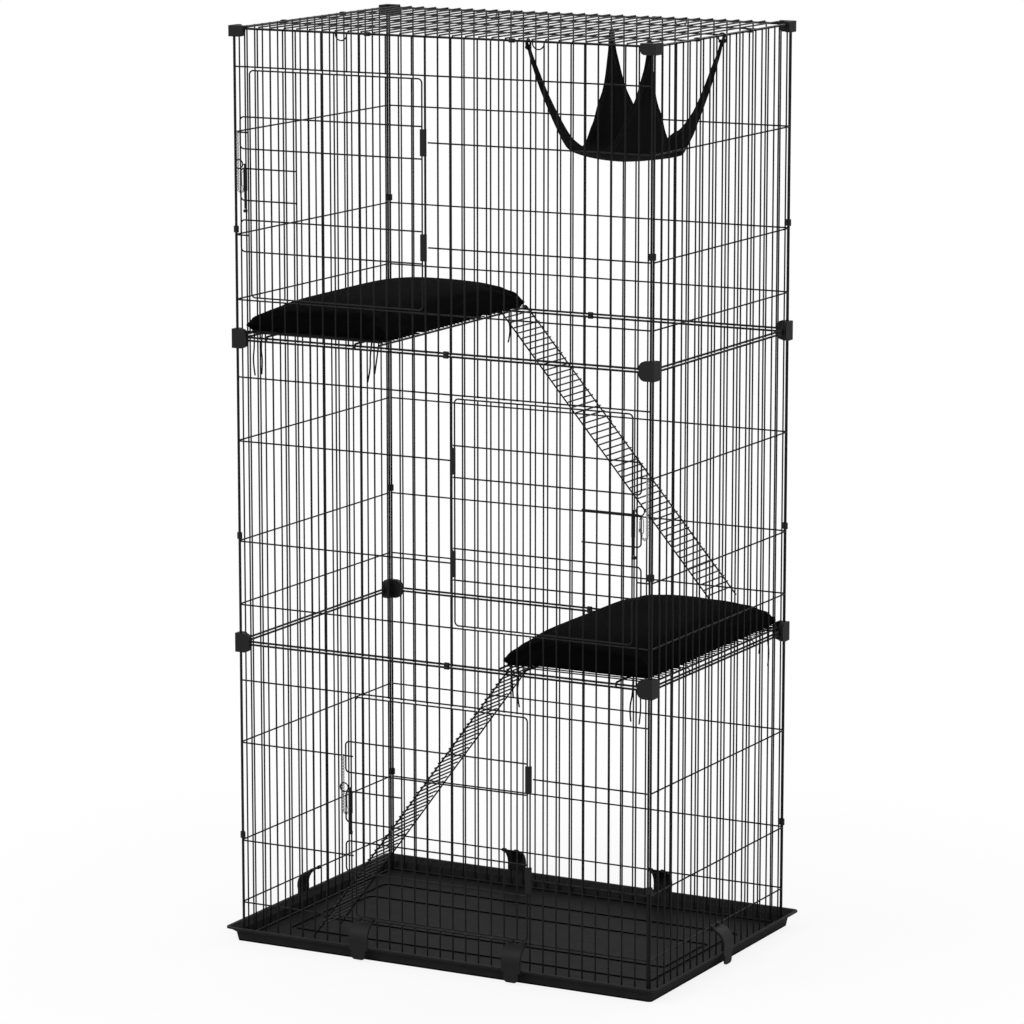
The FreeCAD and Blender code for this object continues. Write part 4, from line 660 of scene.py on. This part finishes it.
def droop(point, span):
    """The open side hangs a little over the shelf's edge rod, except where the ramp is hooked on."""
    if point.x < EDGE_ROD or span[0] < point.y < span[1]:
        return 0
    out = min((point.x - EDGE_ROD) / DROOP_RUN, 1)
    low = max(1 - point.z / DROOP_BELOW, 0)
    clear = min(abs(point.y - edge) for edge in span) / DROOP_EASE
    ends = max(CUSHION_HALF.y - CUSHION_CORNER - abs(point.y), 0) / DROOP_EASE
    return DROOP * out * low * min(clear, ends, 1)


open_side = Vector((CUSHION_HALF.x, 0, 0))
print("droop at the middle of the open side", round(droop(open_side, RAMP_SPANS["upper"]) / MM, 1), "mm")

# %% Cushions
CUSHION_MIDDLE = 276 * MM
SEAT_GAP = 0.2 * MM
SMOOTHING = 0.5
UNDERSIDE = -0.8


def cushion(shelf, side, height, turn):
    bm = bmesh.new()
    bm.from_mesh(pad)
    bmesh.ops.smooth_vert(bm, verts=bm.verts, factor=SMOOTHING,
                          use_axis_x=True, use_axis_y=True, use_axis_z=True)
    bm.normal_update()
    moves = [(vert, vert.normal * seam_detail(vert.co, turn)) for vert in bm.verts]
    for vert, move in moves:
        if vert.normal.z > UNDERSIDE:
            vert.co += move
        vert.co.z = max(vert.co.z, 0) - droop(vert.co, RAMP_SPANS[shelf])
    bmesh.ops.scale(bm, vec=(side, 1, 1), verts=bm.verts)
    bmesh.ops.translate(bm, vec=(-side * CUSHION_MIDDLE, 0, height * MM + SEAT_GAP), verts=bm.verts)
    bmesh.ops.recalc_face_normals(bm, faces=bm.faces)
    for face in bm.faces:
        face.smooth = True
    mesh = mesh_of(bm, f"{shelf}_cushion_pad")
    mesh.materials.append(cushion_black)
    piece = add_object(mesh.name, mesh)
    soft = piece.modifiers.new("soft", "SUBSURF")
    soft.levels = soft.render_levels = 1
    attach(piece, "cage")
    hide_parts(f"{shelf}_cushion")
    return piece


cushions = [cushion(shelf, side, height, FOLD_TURN * side) for shelf, (side, height) in SHELVES.items()]
for piece in cushions:
    print(piece.name, "height", round(piece.dimensions.z / MM, 1), "mm")

# %% [markdown]
# ## Hammock
# The hammock is one cloth cut as a four-pointed star. Its points are drawn up to four rings at the roof
# and the middle sags into a shallow bowl. A simulation could let the cloth hang, but its sag is hard to
# steer, so the shape is built directly. The cut is outlined by a closed curve, points out and sides drawn
# in, and the cloth is filled by extruding that outline inwards ring by ring. Each point is then lifted
# along one hanging profile: nearly level in the bowl and steep towards the rings.

# %% Hammock outline
Hanger = namedtuple("Hanger", "label ring radius lies cut depth")
HAMMOCK_MIDDLE = Vector((0.3102, -0.1383, 1.5405))
HANGERS = [
    Hanger("front_left", Vector((0.18425, -0.2909, 1.7621)), 8 * MM, "Y", "slim", 0.34),
    Hanger("front_right", Vector((0.4125, -0.2553, 1.7672)), 5.5 * MM, "X", "wide", 0.34),
    Hanger("back_right", Vector((0.4379, -0.0070, 1.7621)), 8 * MM, "X", "flared", 0.16),
    Hanger("back_left", Vector((0.20625, 0.0, 1.7641)), 5.5 * MM, "Y", "wide", 0.34),
]
BOWL_SIDES = [Vector((0, -0.100)), Vector((0.082, 0)), Vector((0, 0.095)), Vector((-0.096, 0))]
STRAP_PLACES = [0.58, 0.623, 0.72, 0.78, 0.847, 0.911, 0.958, 1.02]
STRAP_HALF_WIDTHS = {
    "wide": [52, 45, 35, 25, 16.5, 11, 7, 5],
    "flared": [50, 36, 21, 17, 14, 11, 7, 5],
    "slim": [28, 21, 17, 14, 12, 10, 7, 5],
}
STAR_STEPS = 5


def strap_reach(hanger):
    """From the middle of the bowl to the ring, in plan."""
    return (hanger.ring - HAMMOCK_MIDDLE).xy


def sideways(direction):
    return Vector((-direction.y, direction.x))


def hammock_cut():
    """Control points of the star in plan, about the middle of the bowl."""
    points = []
    for hanger, valley in zip(HANGERS, BOWL_SIDES):
        reach = strap_reach(hanger)
        beside = sideways(reach.normalized()) * MM
        halves = zip(STRAP_PLACES, STRAP_HALF_WIDTHS[hanger.cut])
        sides = [(reach * share, beside * half) for share, half in halves]
        points += [spine - side for spine, side in sides]
        points += [spine + side for spine, side in reversed(sides)]
        points.append(valley)
    return points


def star_outline(points):
    line = smooth_line("star", [point.to_3d() for point in points], STAR_STEPS, closed=True)[0]
    piece = add_object("star", line)
    mesh = evaluated_mesh(piece)
    bpy.data.objects.remove(piece)
    return mesh


outline = star_outline(hammock_cut())
print("hammock outline points", len(outline.vertices))

# %% Hammock hang
KNEE = 0.56
KNEE_SOFTNESS = 0.02
STRAIGHT_CLIMB = 0.75
CLOTH_UNDER_RING = 2.2 * MM
HANGER_SPREAD = math.radians(100)
LEAST_WEIGHT = 1e-6
RIPPLE = {"depth": 1.2 * MM, "count": 9, "start": 0.4, "place": 0.5, "reach": 0.2}


def profile(share, depth):
    """A shallow bowl out to the knee, and from there a nearly straight climb to the ring."""
    bowl = depth * share ** 2
    foot = depth * KNEE ** 2
    past = (share - KNEE) / (1 - KNEE)
    climb = foot + (1 - foot) * (STRAIGHT_CLIMB * past + (1 - STRAIGHT_CLIMB) * past * abs(past))
    return (bowl + climb + math.hypot(bowl - climb, KNEE_SOFTNESS)) / 2


def mean(values, weights):
    return sum(weight * value for weight, value in zip(weights, values)) / sum(weights)


def hanging(point):
    """Height of the cloth over the bottom of the bowl, for a place in plan."""
    angle = math.atan2(point.y, point.x)
    weights, reaches, rises, depths = [], [], [], []
    for hanger in HANGERS:
        reach = strap_reach(hanger)
        off = angle - math.atan2(reach.y, reach.x)
        off = abs((off + math.pi) % math.tau - math.pi)
        weights.append(max(1 - off / HANGER_SPREAD, 0) ** 2 + LEAST_WEIGHT)
        reaches.append(reach.length)
        rises.append(hanger.ring.z - hanger.radius - CLOTH_UNDER_RING - HAMMOCK_MIDDLE.z)
        depths.append(hanger.depth)
    share = point.length / mean(reaches, weights)
    ripple = wave(angle, RIPPLE["depth"], RIPPLE["count"], RIPPLE["start"])
    ripple *= bell(share - RIPPLE["place"], RIPPLE["reach"])
    return mean(rises, weights) * profile(share, mean(depths, weights)) + ripple


for hanger in HANGERS:
    knee = strap_reach(hanger) * KNEE
    print(hanger.label, "strap is", round(hanging(knee) / MM), "mm up at its knee")

# %% Hammock cloth
CLOTH_RINGS = 22
PLEAT_DEPTH = 1.6 * MM
PLEAT_TURNS = 3
PLEAT_START = 0.55
PLEAT_FADE = 0.3
STRAP_TIP = 6 * MM
STRAP_FLARE = 30 * MM
STRAP_SHARE = 0.42
MERGE = 1e-6


def gather(point):
    """Pleats that run up each strap to its ring: a move along the strap, in plan."""
    for hanger in HANGERS:
        reach = strap_reach(hanger)
        out = reach.normalized()
        along = point.dot(out) / reach.length
        if along > PLEAT_START:
            aside = point.dot(sideways(out))
            half = STRAP_TIP + STRAP_FLARE * max(1 - along, 0) / STRAP_SHARE
            fade = min((along - PLEAT_START) / PLEAT_FADE, 1)
            return out * (PLEAT_DEPTH * fade * math.cos(PLEAT_TURNS * math.pi * aside / half))
    return Vector((0, 0))


def extruded(bm, edges):
    """A new ring of cloth on these edges: its points and its edges."""
    grown = bmesh.ops.extrude_edge_only(bm, edges=edges)["geom"]
    points = [part for part in grown if isinstance(part, bmesh.types.BMVert)]
    return points, [part for part in grown if isinstance(part, bmesh.types.BMEdge)]


bm = bmesh.new()
bm.from_mesh(outline)
edges = list(bm.edges)
for ring in range(CLOTH_RINGS - 1):
    inner, edges = extruded(bm, edges)
    shrink = (CLOTH_RINGS - ring - 1) / (CLOTH_RINGS - ring)
    bmesh.ops.scale(bm, vec=(shrink, shrink, 1), verts=inner)
centre = extruded(bm, edges)[0]
bmesh.ops.pointmerge(bm, verts=centre, merge_co=(0, 0, 0))
bmesh.ops.remove_doubles(bm, verts=bm.verts, dist=MERGE)
for vert in bm.verts:
    flat = vert.co.xy
    place = flat + gather(flat)
    vert.co = (place.x, place.y, hanging(flat))
bmesh.ops.translate(bm, vec=HAMMOCK_MIDDLE, verts=bm.verts)
bmesh.ops.recalc_face_normals(bm, faces=bm.faces)
if sum(face.normal.z * face.calc_area() for face in bm.faces) < 0:
    bmesh.ops.reverse_faces(bm, faces=bm.faces)
cloth_area = sum(face.calc_area() for face in bm.faces)
print("hammock cloth faces", len(bm.faces), "area", round(cloth_area, 4), "m2")

# %% [markdown]
# ## Hem of the hammock
# The raw edge of the cloth is turned over twice and sewn. The layers could be folded in the mesh, but only
# their thickness and their stitches show. So two numbers are stored on each point: how far it is from the
# edge, and how far along the edge. The first thickens the hem and both draw its stitches.

# %% Hammock hem
HEM_WIDTH = 9 * MM
HEM_LAYERS = 2
CLOTH_THICKNESS = 1.2 * MM
rim = [vert for vert in bm.verts if vert.is_boundary]
order = [rim[0]]
seen = {rim[0]}
while len(order) < len(rim):
    for edge in order[-1].link_edges:
        other = edge.other_vert(order[-1])
        if edge.is_boundary and other not in seen:
            order.append(other)
            seen.add(other)
            break
    else:
        break
tree = KDTree(len(order))
runs = [0.0]
for index, vert in enumerate(order):
    tree.insert(vert.co, index)
    if index:
        runs.append(runs[-1] + (vert.co - order[index - 1].co).length)
tree.balance()
from_edge = bm.verts.layers.float.new("from_edge")
along_edge = bm.verts.layers.float.new("along_edge")
for vert in bm.verts:
    spot, index, distance = tree.find(vert.co)
    vert[from_edge] = distance
    vert[along_edge] = runs[index]
for face in bm.faces:
    face.smooth = True
print("hammock edge", round(runs[-1], 3), "m, rim points", len(order), "of", len(rim))
cloth_mesh = mesh_of(bm, "hammock_cloth")
hammock = add_object("hammock_cloth", cloth_mesh)
hem = hammock.vertex_groups.new(name="hem")
for vert, level in zip(cloth_mesh.vertices, cloth_mesh.attributes["from_edge"].data):
    hem.add([vert.index], 1 if level.value < HEM_WIDTH else 1 / HEM_LAYERS, "REPLACE")

# %% Hammock finish
STITCH_INSET = 7.5 * MM
STITCH_HALF_WIDTH = 0.7 * MM
STITCH_PITCH = 4.5 * MM
STITCH_SHARE = 0.65


def hammock_weave(start):
    height, slubs, colour = cotton(start, dark=0.0022, light=0.0075, pitch=1.0 * MM)
    distance = start.node("Attribute", {"attribute_name": "from_edge"}, output="Fac")
    run = start.node("Attribute", {"attribute_name": "along_edge"}, output="Fac")
    line = start.maths("LESS_THAN", start.maths("ABSOLUTE", distance - STITCH_INSET), STITCH_HALF_WIDTH)
    dash = start.maths("LESS_THAN", start.maths("FRACT", run * (1 / STITCH_PITCH)), STITCH_SHARE)
    stitch = line * dash
    return start.node("BsdfPrincipled", (), {
        "Base Color": blend(stitch, colour, grey(0.014)),
        "Roughness": 0.8 + slubs * 0.15,
        "Normal": relief(height + stitch * 3.0, strength=0.4, depth=0.2 * MM),
        "Specular IOR Level": 0.04})


hammock_black = finish("hammock_cotton", hammock_weave)
cloth_mesh.materials.append(hammock_black)
thick = hammock.modifiers.new("thickness", "SOLIDIFY")
thick.thickness = HEM_LAYERS * CLOTH_THICKNESS
thick.offset = 0
thick.vertex_group = "hem"
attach(hammock, "cage")
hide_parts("hammock")
print("hammock size", [round(side, 3) for side in hammock.dimensions])

# %% [markdown]
# ## Loops at the rings
# The end of each strap is rolled round its ring and sewn back on itself. A curve with a bevel could make
# that roll, but a circle spun part of the way round the ring's own centre follows the wire exactly. It
# makes a short thick tube with the wire inside it.

# %% Loops at the rings
ROLL_RADIUS = 3.6 * MM
ROLL_LENGTH = 12 * MM
ROLL_WALL = 1.9 * MM
ROLL_STEPS = 8
ROLL_SEGMENTS = 16
AXES = {"X": Vector((1, 0, 0)), "Y": Vector((0, 1, 0))}


def strap_roll(hanger):
    """Cloth rolled round the lowest stretch of a ring, which lies in the plane of Z and the named axis."""
    axis = "X" if hanger.lies == "Y" else "Y"
    half = ROLL_LENGTH / hanger.radius / 2
    bm = bmesh.new()
    bmesh.ops.create_circle(bm, segments=ROLL_SEGMENTS, radius=ROLL_RADIUS)
    upright = Matrix.Rotation(math.pi / 2, 3, axis)
    bmesh.ops.rotate(bm, verts=bm.verts, cent=(0, 0, 0), matrix=upright)
    bmesh.ops.translate(bm, vec=hanger.ring - Vector((0, 0, hanger.radius)), verts=bm.verts)
    back = Matrix.Rotation(-half, 3, axis)
    bmesh.ops.rotate(bm, verts=bm.verts, cent=hanger.ring, matrix=back)
    bmesh.ops.spin(bm, geom=bm.verts[:] + bm.edges[:], cent=hanger.ring, axis=AXES[axis],
                   angle=2 * half, steps=ROLL_STEPS)
    bmesh.ops.remove_doubles(bm, verts=bm.verts, dist=MERGE)
    bmesh.ops.recalc_face_normals(bm, faces=bm.faces)
    for face in bm.faces:
        face.smooth = True
    mesh = mesh_of(bm, f"hammock_loop_{hanger.label}")
    mesh.materials.append(hammock_black)
    piece = add_object(mesh.name, mesh)
    wall = piece.modifiers.new("wall", "SOLIDIFY")
    wall.thickness = ROLL_WALL
    wall.offset = -1
    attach(piece, "cage")
    print(piece.name, "size", [round(side / MM, 1) for side in piece.dimensions])
    return piece


loops = [strap_roll(hanger) for hanger in HANGERS]

# %% [markdown]
# ## Floor, backdrop and light
# The picture has a plain white ground. A paper sweep would show its edge in a view from behind, so the
# floor is a wide disc that shows white to the camera and keeps a soft shadow under the tray, and the world
# is white where it is seen directly or in a reflection. The lamps stay at a plain level, so that a colour
# renders about as it is written.

# %% Floor
FLOOR_RADIUS = 40
FLOOR_SEGMENTS = 96
FLOOR_DROP = 0.4 * MM
FLOOR_GREY = (0.9, 0.9, 0.9, 1)
WHITE = (1, 1, 1, 1)


def floor_white(start):
    seen = start.node("LightPath", output="Is Camera Ray")
    away = start.node("VectorMath", {"operation": "LENGTH"}, {0: object_place(start)}, "Value")
    fade = start.node("MapRange", (), {"Value": away, "From Min": 0.5, "From Max": 1.5, "To Min": 0.86})
    matt = start.node("BsdfDiffuse", (), {"Color": FLOOR_GREY})
    glow = start.node("Emission", (), {"Color": WHITE, "Strength": 1.0})
    return start.node("MixShader", (), {0: seen * fade, 1: matt, 2: glow})


bm = bmesh.new()
bmesh.ops.create_circle(bm, cap_ends=True, segments=FLOOR_SEGMENTS, radius=FLOOR_RADIUS)
bmesh.ops.translate(bm, vec=(0, 0, -FLOOR_DROP), verts=bm.verts)
floor_mesh = mesh_of(bm, "floor")
floor_mesh.materials.append(finish("floor_white", floor_white))
floor = add_object("floor", floor_mesh)
print("floor radius", FLOOR_RADIUS, "m")

# %% World
AMBIENT = 0.5

world = bpy.data.worlds.new("studio")
world.use_nodes = True
world.node_tree.nodes.clear()
sky = Shade(world.node_tree)
seen = sky.node("LightPath", output="Is Camera Ray")
seen = sky.maths("MAXIMUM", seen, sky.node("LightPath", output="Is Glossy Ray"))
seen = sky.maths("MAXIMUM", seen, sky.node("LightPath", output="Is Transmission Ray"))
ambient = sky.node("Background", (), {"Color": WHITE, "Strength": AMBIENT})
white = sky.node("Background", (), {"Color": WHITE, "Strength": 1.0})
sky.node("OutputWorld", (), {"Surface": sky.node("MixShader", (), {0: seen, 1: ambient, 2: white})}, None)
scene.world = world
scene.view_settings.view_transform = "Standard"
print("world nodes", len(world.node_tree.nodes))

# %% Lamps
LAMPS = [
    ("key_lamp", (-3.2, -4.6, 4.4), 2.6, 190),
    ("fill_lamp", (5.0, -3.4, 2.6), 2.2, 90),
    ("back_lamp", (1.0, 4.5, 4.6), 2.6, 90),
]
AIM = Vector((0, 0, 0.9))
for name, place, size, watts in LAMPS:
    lamp = bpy.data.lights.new(name, "AREA")
    lamp.size = size
    lamp.energy = watts
    holder = add_object(name, lamp)
    holder.location = place
    holder.rotation_euler = (AIM - Vector(place)).to_track_quat("-Z", "Y").to_euler()
    print(name, watts, "W")

bpy.context.view_layer.update()
